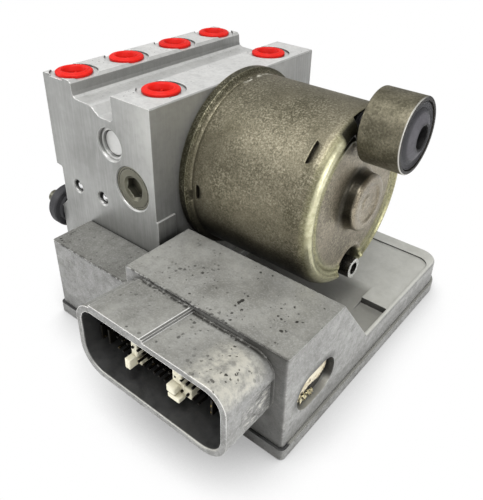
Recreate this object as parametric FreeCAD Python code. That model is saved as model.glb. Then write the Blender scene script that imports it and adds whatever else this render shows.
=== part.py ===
import FreeCAD, Part
import math
import os

os.makedirs("parts", exist_ok=True)
V = FreeCAD.Vector

# Drawing frame: X from the block's motor face, Y from its near end, Z from its top
FIT = 0.1            # clearance round a fixed piece in its bore
RUN = 0.04           # radial running clearance

# Valve block
BLOCK_LEN = 100.0
BLOCK_DEPTH = 60.2
RAIL_REAR = -44.0    # inner edge of the rear rail
RAIL_FRONT = -20.1   # inner edge of the front rail
BLOCK_BOTTOM = -70.5
FOOT_BOTTOM = -78.0
FOOT_FRONT = -43.4
FOOT_BACK = -61.3

# Caps in the line ports
PORT_R = 5.0
PORT_DEPTH = 13.0
SPOT_R = 9.4
SPOT_DEPTH = 0.9
CAP_R = 7.3
OUTLETS = [(-52.0, BLOCK_LEN * k) for k in (0.087, 0.356, 0.644, 0.913)]
INLETS = [(-12.0, BLOCK_LEN * k) for k in (0.174, 0.828)]

# Motor and pump line
AXIS_Y = BLOCK_LEN / 2 + 0.8
AXIS_Z = -35.3
PUMP_X = -12.6
PISTON_R = 4.0
PLUG_R = 9.0
PLUG_LEN = 6.5
CHAMBER_R = 11.2
SEAL_R = 27.0
ECC = 1.5
FLANGE_R = 38.3
CAN_R = 36.1
CAN_WALL = 1.7
CAN_END = 57.5
BOSS_R = 11.4
BOSS_END = 61.6
BOLT_R = 2.3
BOLT_OFF = CAN_R - CAN_WALL - 3.0
POCKET_R = 8.0
POCKET_FLOOR = 52.5
SHAFT_R = 4.0
TAIL_R = 3.0

# Plugs on the block's ends
DAMPER = (-23.4, -20.2, 6.6)
BALLS = [(-47.6, -46.7), (-31.6, -46.7)]
BALL_HOLE = 2.7

# Accumulators in the foot
ACC_X = -50.3
ACC_Y = [BLOCK_LEN * k for k in (0.35, 0.65)]
ACC_R = 5.8

# Valves under the block
VALVE_Y = [BLOCK_LEN * k for k in (0.16, 0.38, 0.62, 0.84)]
INLET_VALVE_X = -11.5
OUTLET_VALVE_X = -31.0
SLEEVE_R = 3.2
SLEEVE_BORE = 2.7
SLEEVE_END = -87.0
VALVE_STROKE = 0.4
COIL_R = 8.1
COIL_TOP = BLOCK_BOTTOM - 3.0

# Control unit
ECU_X0 = -41.6
ECU_X1 = 76.35
ECU_Y0 = -19.6
ECU_Y1 = BLOCK_LEN + 5.9
TOWER_X0 = 4.0
TOWER_Y1 = 13.0
TOWER_TOP = -52.5
WEB_T = 1.75
WEB_FOOT = 35.6
END_TOP = -61.2
DECK = -82.4
DECK_FLOOR = -83.1      # inside the raised border
POCKET = -86.0
RIM_BOTTOM = -93.0
SEAL_T = 0.4
COVER_BOTTOM = -98.0
WALL = 2.3
BOARD_TOP = -91.0
BOARD_T = 1.6
SCREW_Y = [ECU_Y0 + 6.0, BLOCK_LEN / 2, ECU_Y1 - 6.0]
SCREWS = [(x, y) for y in SCREW_Y for x in (ECU_X0 + 6.0, ECU_X1 - 6.05)]

# Connector shroud
SHROUD = (4.6, 71.6, -82.6, -52.5)
SHROUD_R = (8.0, 10.5)     # upper and lower corners
SHROUD_DROP = 2.3          # fall of the top from the mouth to the root
SHROUD_MOUTH = -42.5
SHROUD_WALL = 2.2
INSERT_FACE = -24.0
INSERT_BARS = [(-62.6, -61.0), (-76.0, -74.4)]
PANEL_EDGE = 37.6     # step between the two panels of its top

# Mounting bushes
FRONT_BUSH = (AXIS_Y, AXIS_Z + BOLT_OFF)
FRONT_BUSH_R = 13.7
FRONT_BUSH_X = (59.8, 75.4)
FRONT_HOLE_R = 4.2
REAR_BUSH_Y = [6.0, BLOCK_LEN - 6.0]
REAR_BUSH_Z = -65.1
REAR_BUSH_R = 9.8
REAR_BUSH_LEN = 6.6

# The row frame has its origin under the middle of the base cover
SHIFT = V(-(ECU_X0 + ECU_X1) / 2, -(ECU_Y0 + ECU_Y1) / 2, -COVER_BOTTOM)


def box(x0, x1, y0, y1, z0, z1):
    return Part.makeBox(x1 - x0, y1 - y0, z1 - z0, V(x0, y0, z0))


def cyl_x(x0, x1, y, z, r):
    return Part.makeCylinder(r, x1 - x0, V(x0, y, z), V(1, 0, 0))


def cyl_y(y0, y1, x, z, r):
    return Part.makeCylinder(r, y1 - y0, V(x, y0, z), V(0, 1, 0))


def cyl_z(z0, z1, x, y, r):
    return Part.makeCylinder(r, z1 - z0, V(x, y, z0), V(0, 0, 1))


def prism(points, step):
    wire = Part.makePolygon([V(*p) for p in points] + [V(*points[0])])
    return Part.Face(wire).extrude(V(*step))


def turned_x(profile, y, z):
    # profile of (x, r) points turned about a line along X
    pts = [V(x, y + r, z) for x, r in profile]
    face = Part.Face(Part.makePolygon(pts + [pts[0]]))
    return face.revolve(V(0, y, z), V(1, 0, 0), 360)


def turned_z(profile, x, y):
    # profile of (r, z) points turned about a line along Z
    pts = [V(x + r, y, z) for r, z in profile]
    face = Part.Face(Part.makePolygon(pts + [pts[0]]))
    return face.revolve(V(x, y, 0), V(0, 0, 1), 360)


def along(shape, axis):
    # the edges of a box that run along one axis
    out = []
    for e in shape.Edges:
        a, b = e.Vertexes[0].Point, e.Vertexes[-1].Point
        d = (b - a)
        d.normalize()
        if abs(d.dot(axis)) > 0.99:
            out.append(e)
    return out


def corner_box(x0, x1, y0, y1, z0, z1, r_near, r_far):
    # upright corners rounded, near ones at low Y and far ones at high Y
    b = box(x0, x1, y0, y1, z0, z1)
    near = [e for e in along(b, V(0, 0, 1)) if e.Vertexes[0].Point.y < (y0 + y1) / 2]
    b = b.makeFillet(r_near, near)
    far = [e for e in along(b, V(0, 0, 1)) if e.Vertexes[0].Point.y > y1 - 0.01]
    return b.makeFillet(r_far, far)


def mouth_box(x0, x1, z0, z1, y0, y1, r):
    # rounded rectangle that runs along Y
    b = box(x0, x1, y0, y1, z0, z1)
    return b.makeFillet(r, along(b, V(0, 1, 0)))


def fuse(parts):
    out = parts[0].multiFuse(parts[1:])
    return out.removeSplitter()


def cut(shape, tools):
    return shape.cut(tools)


def group(parts):
    return Part.makeCompound(parts)


def hexagon_y(y0, y1, x, z, flats):
    r = flats / 2 / math.cos(math.pi / 6)
    pts = []
    for k in range(6):
        a = math.pi / 3 * k + 0.35
        pts.append((x + r * math.cos(a), y0, z + r * math.sin(a)))
    return prism(pts, (0, y1 - y0, 0))


def coil_spring(start, step, r, wire, turns):
    # a square-wire helix between two points on one axis
    axis = V(*step)
    length = axis.Length
    axis.normalize()
    side = V(0, 0, 1) if abs(axis.z) < 0.5 else V(1, 0, 0)
    other = axis.cross(side)
    n = int(turns * 10)
    rings = []
    for i in range(n + 1):
        t = i / n
        a = 2 * math.pi * turns * t
        out = side * math.cos(a) + other * math.sin(a)
        mid = V(*start) + axis * (wire + (length - 2 * wire) * t)
        ring = []
        for du, dv in ((-1, -1), (1, -1), (1, 1), (-1, 1)):
            ring.append(mid + out * (r + du * wire * 0.8) + axis * (dv * wire * 0.8))
        rings.append(ring)
    faces = []
    for i in range(n):
        for k in range(4):
            a, b = rings[i][k], rings[i][(k + 1) % 4]
            c, d = rings[i + 1][(k + 1) % 4], rings[i + 1][k]
            faces.append(Part.Face(Part.makePolygon([a, b, c, a])))
            faces.append(Part.Face(Part.makePolygon([a, c, d, a])))
    for ring in (rings[0], rings[-1]):
        faces.append(Part.Face(Part.makePolygon([ring[0], ring[1], ring[2], ring[0]])))
        faces.append(Part.Face(Part.makePolygon([ring[0], ring[2], ring[3], ring[0]])))
    shell = Part.makeShell(faces)
    solid = Part.makeSolid(shell)
    if solid.Volume < 0:
        solid = Part.makeSolid(shell.reversed())
    return solid


def save(name, shape):
    s = shape.copy()
    s.translate(SHIFT)
    s.exportStep("parts/" + name + ".step")
    box_ = s.BoundBox
    print("%-26s %7.1f %7.1f %7.1f  %7.1f %7.1f %7.1f valid %s" % (
        name, box_.XMin, box_.YMin, box_.ZMin, box_.XMax, box_.YMax, box_.ZMax, s.isValid()))


def bore_y(end, s, depth, x, z, r, chamfer):
    # a blind bore from one end of the block, with a chamfered mouth
    bore = cyl_y(*sorted((end - s, end + s * depth)), x, z, r)
    mouth = Part.makeCone(r + chamfer + 0.5, r, chamfer + 0.5, V(x, end - s * 0.5, z), V(0, s, 0))
    return bore.fuse(mouth)


# Machined valve block with a channel along its top
def valve_block():
    back = -BLOCK_DEPTH
    profile = [(back + 0.5, 0), (RAIL_REAR - 0.4, 0), (RAIL_REAR + 0.9, -1.1), (RAIL_REAR + 1.1, -4.4),
               (RAIL_REAR + 1.5, -5.8), (RAIL_REAR + 2.8, -6.6), (-33.4, -6.8), (-32.0, -7.2),
               (-28.2, -9.9), (-27.0, -10.2), (RAIL_FRONT - 1.2, -10.2), (RAIL_FRONT, -9.2), (RAIL_FRONT, -0.3),
               (RAIL_FRONT + 0.3, 0), (-0.4, 0), (0, -0.4), (0, BLOCK_BOTTOM),
               (FOOT_FRONT, BLOCK_BOTTOM), (FOOT_FRONT, FOOT_BOTTOM), (FOOT_BACK + 0.8, FOOT_BOTTOM),
               (FOOT_BACK, FOOT_BOTTOM + 0.8), (FOOT_BACK, -61.0), (-57.3, -57.2), (-57.1, -41.0),
               (-57.6, -40.4), (back - 0.5, -40.0), (back, -0.5)]
    body = prism([(x, 0, z) for x, z in profile], (0, BLOCK_LEN, 0))
    pad = box(-1.0, 0.8, 0, 9.4, BLOCK_BOTTOM, -45.2)
    pad_far = box(-1.0, 0.8, BLOCK_LEN - 9.4, BLOCK_LEN, BLOCK_BOTTOM, -45.2)
    body = fuse([body, pad, pad_far])
    tools = []
    for x, y in OUTLETS + INLETS:
        tools.append(cyl_z(-SPOT_DEPTH, 1.0, x, y, SPOT_R))
        tools.append(cyl_z(-PORT_DEPTH, 1.0, x, y, PORT_R))
        tools.append(Part.makeCone(0.6, PORT_R, 2.6, V(x, y, -PORT_DEPTH - 2.6), V(0, 0, 1)))
    tools.append(cyl_x(-24.0, 1.0, AXIS_Y, AXIS_Z, CHAMBER_R))
    tools.append(cyl_x(-31.0, -23.0, AXIS_Y, AXIS_Z, TAIL_R + RUN))
    ring = cyl_x(-1.2, 1.0, AXIS_Y, AXIS_Z, SEAL_R + 1.3).cut(cyl_x(-1.3, 1.1, AXIS_Y, AXIS_Z, SEAL_R - 1.3))
    tools.append(ring)
    for dz in (BOLT_OFF, -BOLT_OFF):
        tools.append(cyl_x(-17.0, 1.0, AXIS_Y, AXIS_Z + dz, BOLT_R + FIT))
    tools.append(cyl_y(-1, BLOCK_LEN + 1, PUMP_X, AXIS_Z, PISTON_R))
    for end, s in ((0.0, 1.0), (BLOCK_LEN, -1.0)):
        tools.append(bore_y(end, s, PLUG_LEN, PUMP_X, AXIS_Z, PLUG_R, 0.5))
        tools.append(bore_y(end, s, 14.0, DAMPER[0], DAMPER[1], DAMPER[2], 0.4))
        for x, z in BALLS:
            tools.append(bore_y(end, s, 7.0, x, z, BALL_HOLE, 0.6))
    for y in ACC_Y:
        tools.append(cyl_z(FOOT_BOTTOM - 1.0, -52.0, ACC_X, y, ACC_R))
    for x in (INLET_VALVE_X, OUTLET_VALVE_X):
        for y in VALVE_Y:
            tools.append(cyl_z(BLOCK_BOTTOM - 1.0, -56.0, x, y, 5.0 + FIT))
            tools.append(cyl_z(-57.0, -51.0, x, y, 1.6))
    for y in REAR_BUSH_Y:
        tools.append(cyl_x(FOOT_BACK - 1.0, -49.0, y, REAR_BUSH_Z, 3.5))
    return cut(body, tools)


# Press-in cap for a line port, a disc with a fluted cup
def port_cap(x, y):
    top = 0.55
    inner = 4.0
    profile = [(0, -9.2), (3.6, -9.2), (4.9, -8.2), (4.9, -SPOT_DEPTH), (CAP_R - 0.2, -SPOT_DEPTH),
               (CAP_R, -SPOT_DEPTH + 0.3), (CAP_R, top - 0.4), (CAP_R - 0.5, top), (5.8, top),
               (5.5, top + 0.3), (5.0, top + 0.3), (4.6, top - 0.2), (inner, -1.2), (3.0, -7.6), (0, -7.8)]
    cap = turned_z(profile, x, y)
    ribs = []
    for k in range(6):
        rib = box(x + 2.3, x + 4.2, y - 0.35, y + 0.35, -7.9, -1.6)
        rib.rotate(V(x, y, 0), V(0, 0, 1), 60 * k + 15)
        ribs.append(rib)
    return fuse([cap] + ribs)


# Screw plugs that close the pump bores, flush with the block's ends
def pump_plugs():
    out = []
    for end, s in ((0.0, 1.0), (BLOCK_LEN, -1.0)):
        y0, y1 = sorted((end + s * 0.7, end + s * (PLUG_LEN - 0.1)))
        plug = cyl_y(y0, y1, PUMP_X, AXIS_Z, PLUG_R - FIT)
        groove = cyl_y(*sorted((end - s, end + s * 1.2)), PUMP_X, AXIS_Z, 8.2)
        groove = groove.cut(cyl_y(*sorted((end - s * 1.1, end + s * 1.3)), PUMP_X, AXIS_Z, 7.9))
        socket = hexagon_y(*sorted((end - s, end + s * 4.6)), PUMP_X, AXIS_Z, 8.0)
        cone = Part.makeCone(5.4, 4.2, 1.0, V(PUMP_X, end + s * 0.6, AXIS_Z), V(0, s, 0))
        out.append(cut(plug, [groove, socket, cone]))
    return group(out)


# Staked discs that close the damper bores
def damper_plugs():
    out = []
    x, z, r = DAMPER
    for end, s in ((0.0, 1.0), (BLOCK_LEN, -1.0)):
        body = cyl_y(*sorted((end + s * 1.6, end + s * 6.0)), x, z, r - FIT)
        body = body.cut(cyl_y(*sorted((end, end + s * 2.6)), x, z, r - 1.1))
        ring = cyl_y(*sorted((end, end + s * 3.3)), x, z, r - 1.2)
        ring = ring.cut(cyl_y(*sorted((end - s, end + s * 4.0)), x, z, r - 1.7))
        out.append(cut(body, [ring]))
    return group(out)


# Steel balls pressed into the cross drillings
def ball_seals():
    out = []
    for y in (3.4, BLOCK_LEN - 3.4):
        for x, z in BALLS:
            out.append(Part.makeSphere(BALL_HOLE - 0.05, V(x, y, z)))
    return group(out)


# Discs that close the accumulator bores under the foot
def accumulator_caps():
    out = []
    for y in ACC_Y:
        disc = cyl_z(FOOT_BOTTOM + 0.1, FOOT_BOTTOM + 3.0, ACC_X, y, ACC_R - FIT)
        dish = cyl_z(FOOT_BOTTOM - 1.0, FOOT_BOTTOM + 1.2, ACC_X, y, 4.0)
        vent = cyl_z(FOOT_BOTTOM, FOOT_BOTTOM + 4.0, ACC_X, y, 0.8)
        out.append(cut(disc, [dish, vent]))
    return group(out)


def accumulator_piston(y):
    body = cyl_z(-59.0, -53.0, ACC_X, y, ACC_R - RUN)
    groove = cyl_z(-56.6, -55.4, ACC_X, y, ACC_R + 1).cut(cyl_z(-56.7, -55.3, ACC_X, y, ACC_R - 0.9))
    cup = cyl_z(-60.0, -57.0, ACC_X, y, 4.0)
    return cut(body, [groove, cup])


def accumulator_spring(y):
    return coil_spring((ACC_X, y, FOOT_BOTTOM + 3.0), (0, 0, 18.0), 3.6, 0.5, 6)


# Valve cartridges staked in the block, each with a closed guide tube
def valve_sleeves(x):
    out = []
    for y in VALVE_Y:
        collar = cyl_z(BLOCK_BOTTOM, -56.2, x, y, 5.0)
        tube = cyl_z(SLEEVE_END, BLOCK_BOTTOM, x, y, SLEEVE_R)
        hole = cyl_z(SLEEVE_END + 0.8, -62.0, x, y, SLEEVE_BORE)
        seat = cyl_z(-62.5, -55.0, x, y, 0.9)
        out.append(cut(fuse([collar, tube]), [hole, seat]))
    return group(out)


def valve_armature(x, y):
    body = cyl_z(SLEEVE_END + 0.9, -74.0, x, y, SLEEVE_BORE - RUN)
    rod = cyl_z(-74.2, -63.0, x, y, 1.2)
    return fuse([body, rod])


# Motor housing drawn from steel sheet, open at the block
def motor_can():
    r, end, inner = CAN_R, CAN_END, CAN_R - CAN_WALL
    outside = [(0, FLANGE_R), (3.0, FLANGE_R), (3.5, FLANGE_R - 0.5), (3.7, FLANGE_R - 1.1), (4.0, r + 0.1),
               (4.5, r - 0.3), (5.4, r), (52.4, r), (54.2, r - 0.4), (55.8, r - 1.3), (56.9, r - 2.4),
               (end, r - 3.6), (end, r - 4.3), (end - 0.8, r - 5.1), (end - 1.1, r - 6.2), (end - 0.8, r - 7.0),
               (end - 0.8, r - 7.7), (end - 1.3, r - 8.6), (end - 1.4, BOSS_R + 1.9), (end - 1.1, BOSS_R + 1.0),
               (end - 0.2, BOSS_R + 0.3), (BOSS_END - 1.0, BOSS_R), (BOSS_END - 0.3, BOSS_R - 0.5),
               (BOSS_END, BOSS_R - 1.3), (BOSS_END, BOSS_R - 3.4), (BOSS_END - 0.6, BOSS_R - 4.3),
               (BOSS_END - 0.9, BOSS_R - 7.8), (BOSS_END - 0.6, BOSS_R - 8.6), (BOSS_END - 0.6, 0)]
    inside = [(BOSS_END - 2.4, 0), (BOSS_END - 2.4, 8.1), (54.6, 8.1), (54.6, inner - 2.3), (53.2, inner - 0.7),
              (51.0, inner), (0, inner)]
    can = turned_x(outside + inside, AXIS_Y, AXIS_Z)
    adds = []
    tools = []
    for dz in (BOLT_OFF, -BOLT_OFF):
        z = AXIS_Z + dz
        lining = cyl_x(POCKET_FLOOR - 1.8, end - 1.6, AXIS_Y, z, POCKET_R + 1.6)
        adds.append(lining.common(cyl_x(40.0, end - 1.6, AXIS_Y, AXIS_Z, CAN_R - 1.0)))
        tools.append(cyl_x(POCKET_FLOOR, end + 5.0, AXIS_Y, z, POCKET_R).cut(
            cyl_x(40.0, 70.0, AXIS_Y, AXIS_Z, BOSS_R + 1.0)))
        tools.append(cyl_x(40.0, 60.0, AXIS_Y, z, BOLT_R + FIT))
    return cut(fuse([can] + adds), tools)


def motor_seal():
    return cyl_x(-1.1, -0.05, AXIS_Y, AXIS_Z, SEAL_R + 1.2).cut(cyl_x(-2.0, 1.0, AXIS_Y, AXIS_Z, SEAL_R - 1.2))


def wedge_x(half_angle, reach, x0, x1, up):
    s = 1.0 if up else -1.0
    w = reach * math.tan(math.radians(half_angle))
    pts = [(x0, AXIS_Y, AXIS_Z), (x0, AXIS_Y - w, AXIS_Z + s * reach), (x0, AXIS_Y + w, AXIS_Z + s * reach)]
    return prism(pts, (x1 - x0, 0, 0))


# Two curved magnets that leave a gap for the through bolts
def field_magnets():
    ring = cyl_x(13.0, 50.0, AXIS_Y, AXIS_Z, CAN_R - CAN_WALL - FIT)
    ring = ring.cut(cyl_x(12.0, 51.0, AXIS_Y, AXIS_Z, 23.0))
    return cut(ring, [wedge_x(30, 40, 12.0, 51.0, True), wedge_x(30, 40, 12.0, 51.0, False)])


BRUSH = (5.4, 11.0, 3.0)


def brush_holder():
    x0, x1, half = BRUSH
    disc = cyl_x(0.4, 3.4, AXIS_Y, AXIS_Z, CAN_R - CAN_WALL - 0.5)
    adds = [disc]
    tools = [cyl_x(-1.0, 14.0, AXIS_Y, AXIS_Z, 10.4)]
    for s in (1.0, -1.0):
        y0, y1 = sorted((AXIS_Y + s * 12.0, AXIS_Y + s * 24.0))
        adds.append(box(3.0, x1 + 1.2, y0, y1, AXIS_Z - half - 1.4, AXIS_Z + half + 1.4))
        tools.append(box(x0 - FIT, x1 + FIT, y0 - 1.0, y1 + 1.0, AXIS_Z - half - FIT, AXIS_Z + half + FIT))
        tools.append(cyl_x(-1.0, 5.0, AXIS_Y, AXIS_Z + s * BOLT_OFF, 3.2))
    return cut(fuse(adds), tools)


def brushes():
    x0, x1, half = BRUSH
    out = []
    for s in (1.0, -1.0):
        y0, y1 = sorted((AXIS_Y + s * 9.35, AXIS_Y + s * 21.0))
        out.append(box(x0, x1, y0, y1, AXIS_Z - half, AXIS_Z + half))
    return group(out)


def bearing(x0, x1, outer, inner):
    ring = cyl_x(x0, x1, AXIS_Y, AXIS_Z, outer).cut(cyl_x(x0 - 1, x1 + 1, AXIS_Y, AXIS_Z, inner))
    mid = (outer + inner) / 2
    for x in (x0, x1):
        groove = cyl_x(x - 0.4, x + 0.4, AXIS_Y, AXIS_Z, mid + 1.0)
        ring = ring.cut(groove.cut(cyl_x(x - 1, x + 1, AXIS_Y, AXIS_Z, mid - 1.0)))
    return ring


# Long screws that hold the motor to the block, the upper one is the bush stud
def through_bolt(z, head_r, head_end):
    shank = cyl_x(-16.0, POCKET_FLOOR, AXIS_Y, z, BOLT_R)
    head = cyl_x(POCKET_FLOOR, head_end, AXIS_Y, z, head_r)
    return fuse([shank, head])


def lower_bolt():
    z = AXIS_Z - BOLT_OFF
    end = 59.2
    bolt = through_bolt(z, 4.3, end)
    star = cyl_x(end - 3.0, end + 1.0, AXIS_Y, z, 2.6)
    return cut(bolt, [star])


def front_bush_stud():
    z = AXIS_Z + BOLT_OFF
    return through_bolt(z, 5.2, FRONT_BUSH_X[0])


def front_bush_cup():
    y, z = FRONT_BUSH
    x0, x1 = FRONT_BUSH_X
    cup = cyl_x(x0, x1, y, z, FRONT_BUSH_R)
    rim = [e for e in cup.Edges if abs(e.BoundBox.XMin - e.BoundBox.XMax) < 1e-6]
    cup = cup.makeFillet(0.5, rim)
    return cup.cut(cyl_x(x0 + 1.6, x1 + 1.0, y, z, FRONT_BUSH_R - 1.5))


def front_bush_rubber():
    y, z = FRONT_BUSH
    x0, x1 = FRONT_BUSH_X
    r = FRONT_BUSH_R - 1.6
    hole = FRONT_HOLE_R
    profile = [(x0 + 1.6, 0), (x0 + 1.6, r), (x1 - 0.7, r), (x1 - 0.3, r - 0.5), (x1 - 0.7, r - 1.0),
               (x1 - 0.8, r - 2.2), (x1 - 0.4, r - 2.7), (x1 + 0.1, r - 3.5), (x1 + 1.5, hole + 1.4),
               (x1 + 1.8, hole + 0.9), (x1 + 1.4, hole),
               (x0 + 4.0, FRONT_HOLE_R), (x0 + 4.0, 0)]
    return turned_x(profile, y, z)


# Rubber mounts behind the foot, each on a shouldered stud
def rear_bush_rubber(y):
    x1 = FOOT_BACK - 0.3
    x0 = x1 - REAR_BUSH_LEN
    r = REAR_BUSH_R
    profile = [(x1, 4.1), (x1, 7.0), (x1 - 1.2, 7.2), (x1 - 1.5, r - 0.5), (x1 - 2.0, r), (x0 + 1.4, r),
               (x0 + 0.4, r - 0.4), (x0, r - 1.2), (x0, 4.1)]
    return turned_x(profile, y, REAR_BUSH_Z)


def rear_stud(y):
    x0 = FOOT_BACK - 0.3 - REAR_BUSH_LEN
    stud = cyl_x(x0 - 9.0, -49.5, y, REAR_BUSH_Z, 3.0)
    thread = cyl_x(FOOT_BACK, -49.5, y, REAR_BUSH_Z, 3.4)
    shoulder = cyl_x(x0 + 0.4, FOOT_BACK, y, REAR_BUSH_Z, 4.0)
    return fuse([stud, thread, shoulder])


# Control unit housing, one casting with the connector shroud
def ecu_outside():
    slab = corner_box(ECU_X0, ECU_X1, ECU_Y0, ECU_Y1, RIM_BOTTOM, DECK, 1.2, 8.5)
    slab = slab.makeFillet(1.1, [e for e in slab.Edges if e.BoundBox.ZMin > DECK - 0.01])
    under = box(ECU_X0, -0.4, -0.4, BLOCK_LEN, RIM_BOTTOM, BLOCK_BOTTOM)
    raised = box(ECU_X0, TOWER_X0 + 2.0, ECU_Y0, -0.3, RIM_BOTTOM, END_TOP)
    raised = raised.makeFillet(1.2, [e for e in along(raised, V(0, 0, 1)) if
                                     e.Vertexes[0].Point.y < -10 and e.Vertexes[0].Point.x < 0])
    filler = box(1.2, TOWER_X0 + 2.0, -1.0, TOWER_Y1, RIM_BOTTOM, END_TOP)
    tower = box(TOWER_X0, ECU_X1, ECU_Y0, TOWER_Y1, RIM_BOTTOM, TOWER_TOP)
    tower = tower.makeFillet(1.2, [e for e in along(tower, V(0, 0, 1)) if
                                   e.Vertexes[0].Point.y < 0 and e.Vertexes[0].Point.x > 0
                                   and e.Vertexes[0].Point.x > 50])
    web_x, web_y = ECU_X1 - WEB_T, TOWER_Y1 - 1.0
    web = prism([(web_x, web_y, TOWER_TOP - 0.2), (web_x, TOWER_Y1, TOWER_TOP - 0.2), (web_x, WEB_FOOT, DECK),
                 (web_x, WEB_FOOT, DECK - 2.0), (web_x, web_y, DECK - 2.0)], (WEB_T, 0, 0))
    return fuse([slab, under, raised, filler, tower, web])


# Connector shroud: a rounded tube that widens a little toward its mouth
def shroud_frame(y, inset):
    x0, x1, z0, z1 = SHROUD
    z1 = z1 - SHROUD_DROP * (y - SHROUD_MOUTH) / (ECU_Y0 - SHROUD_MOUTH)
    x0, x1, z0, z1 = x0 + inset, x1 - inset, z0 + inset, z1 - inset
    upper, lower = (r - 0.8 * inset for r in SHROUD_R)
    edges = []
    last = None
    for x, z, sx, sz, r in ((x0, z0, 1, 1, lower), (x1, z0, -1, 1, lower), (x1, z1, -1, -1, upper),
                            (x0, z1, 1, -1, upper)):
        cx, cz = x + sx * r, z + sz * r
        mid = V(cx - sx * r * math.sqrt(0.5), y, cz - sz * r * math.sqrt(0.5))
        ends = [V(x, y, cz), V(cx, y, z)]
        if sx * sz < 0:
            ends.reverse()
        if last:
            edges.append(Part.makeLine(last, ends[0]))
        else:
            first = ends[0]
        edges.append(Part.Arc(ends[0], mid, ends[1]).toShape())
        last = ends[1]
    edges.append(Part.makeLine(last, first))
    return Part.Wire(edges)


def shroud_run(y0, y1, inset):
    return Part.makeLoft([shroud_frame(y0, inset), shroud_frame(y1, inset)], True, True)


def shroud_outside():
    x0, x1, z0, z1 = SHROUD
    tube = shroud_run(SHROUD_MOUTH, ECU_Y0 + 2.0, 0.0)
    near, far, drop = SHROUD_MOUTH, ECU_Y0 + 1.0, SHROUD_DROP
    panel = prism([(x0 + 7.5, near, z1 - 1.0), (x0 + 7.5, near, z1 + 1.0), (x0 + 7.5, far, z1 - drop + 1.0),
                   (x0 + 7.5, far, z1 - drop - 1.0)], (PANEL_EDGE - x0 - 7.5, 0, 0))
    relief = [(ECU_Y0 - 0.1, -63.0), (-33.0, -63.0), (-35.6, -64.8), (-36.0, -68.5), (-33.5, -74.5),
              (-33.5, z0 - 1.0), (ECU_Y0 - 0.1, z0 - 1.0)]
    relief = prism([(x1 - 1.4, y, z) for y, z in relief], (4.0, 0, 0))
    return [cut(tube, [relief]), panel]


VENT_FLOOR = 72.8
VENT = (-1.0, -77.5, 22.8, 14.6)


def vent_slot(x0, x1, shrink):
    y, z, w, h = VENT
    b = box(x0, x1, y - w / 2 + shrink, y + w / 2 - shrink, z - h / 2 + shrink, z + h / 2 - shrink)
    return b.makeFillet(h / 2 - shrink - 0.05, along(b, V(1, 0, 0)))


def ecu_housing():
    body = fuse([ecu_outside()] + shroud_outside())
    roof = BLOCK_BOTTOM - 2.2
    tools = [
        box(62.5, ECU_X1 - WEB_T, TOWER_Y1, 55.8, POCKET, DECK + 1.0),
        prism([(TOWER_X0, TOWER_Y1, POCKET), (TOWER_X0, TOWER_Y1, DECK + 1.0), (TOWER_X0, 65.0, DECK + 1.0),
               (TOWER_X0, 65.0, DECK_FLOOR), (TOWER_X0, 48.0, POCKET)], (62.6 - TOWER_X0, 0, 0)),
        corner_box(TOWER_X0 + 1.0, ECU_X1 - WEB_T, 50.0, ECU_Y1 - 7.4, DECK_FLOOR, DECK + 1.0, 0.5, 6.0),
        box(ECU_X0 + WALL, ECU_X1 - WALL, ECU_Y0 + WALL, ECU_Y1 - WALL, RIM_BOTTOM - 1, POCKET - 2.0),
        box(6.0, ECU_X1 - WALL, 64.0, ECU_Y1 - WALL, POCKET - 3.0, DECK - 2.2),
        box(ECU_X0 + WALL, -2.9, 2.0, BLOCK_LEN - WALL, POCKET - 3.0, roof),
        box(ECU_X0 + WALL, TOWER_X0 - 1.0, ECU_Y0 + WALL, -2.7, POCKET - 3.0, END_TOP - 2.2),
        box(TOWER_X0 + WALL, ECU_X1 - WALL, ECU_Y0 + WALL, TOWER_Y1 - WALL, POCKET - 3.0, TOWER_TOP - 2.2),
        shroud_run(SHROUD_MOUTH - 1.0, ECU_Y0 + WALL + 1.0, SHROUD_WALL),
    ]
    for x in (INLET_VALVE_X, OUTLET_VALVE_X):
        for y in VALVE_Y:
            tools.append(cyl_z(roof - 1.0, BLOCK_BOTTOM + 1.0, x, y, SLEEVE_R + 0.4))
    body = cut(body, tools)
    adds = []
    for x, y in SCREWS:
        top = DECK - 1.0
        if y == SCREW_Y[0]:
            top = END_TOP - 1.0 if x < 0 else TOWER_TOP - 26.0
        if y == SCREW_Y[1]:
            top = roof + 0.5 if x < 0 else POCKET - 1.0
        adds.append(cyl_z(RIM_BOTTOM, top, x, y, 4.0))
    adds.append(box(69.0, ECU_X1 - 0.5, VENT[0] - 13.0, TOWER_Y1 - 1.0, -87.0, -67.5))
    body = fuse([body] + adds)
    tools = [cyl_z(RIM_BOTTOM - 1, RIM_BOTTOM + 4.5, x, y, 2.0) for x, y in SCREWS]
    tools.append(vent_slot(VENT_FLOOR, ECU_X1 + 1.0, 0.0))
    return cut(body, tools)


def ecu_cover():
    top = RIM_BOTTOM - SEAL_T
    plate = corner_box(ECU_X0 - 1.0, ECU_X1 + 1.0, ECU_Y0 - 1.0, ECU_Y1 + 1.0, COVER_BOTTOM, top, 2.0, 9.5)
    tools = [corner_box(ECU_X0 + 9.0, ECU_X1 - 9.0, ECU_Y0 + 9.0, ECU_Y1 - 9.0, top - 1.2, top + 1, 2.0, 4.0)]
    for x, y in SCREWS:
        tools.append(cyl_z(COVER_BOTTOM - 1, COVER_BOTTOM + 2.6, x, y, 4.2))
        tools.append(cyl_z(COVER_BOTTOM - 1, top + 1, x, y, 2.2))
    return cut(plate, tools)


def cover_seal():
    z0 = RIM_BOTTOM - SEAL_T
    ring = corner_box(ECU_X0 + 0.3, ECU_X1 - 0.3, ECU_Y0 + 0.3, ECU_Y1 - 0.3, z0, RIM_BOTTOM, 1.2, 8.2)
    hole = corner_box(ECU_X0 + 2.0, ECU_X1 - 2.0, ECU_Y0 + 2.0, ECU_Y1 - 2.0, z0 - 1, RIM_BOTTOM + 1, 1.0, 6.5)
    return cut(ring, [hole])


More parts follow.
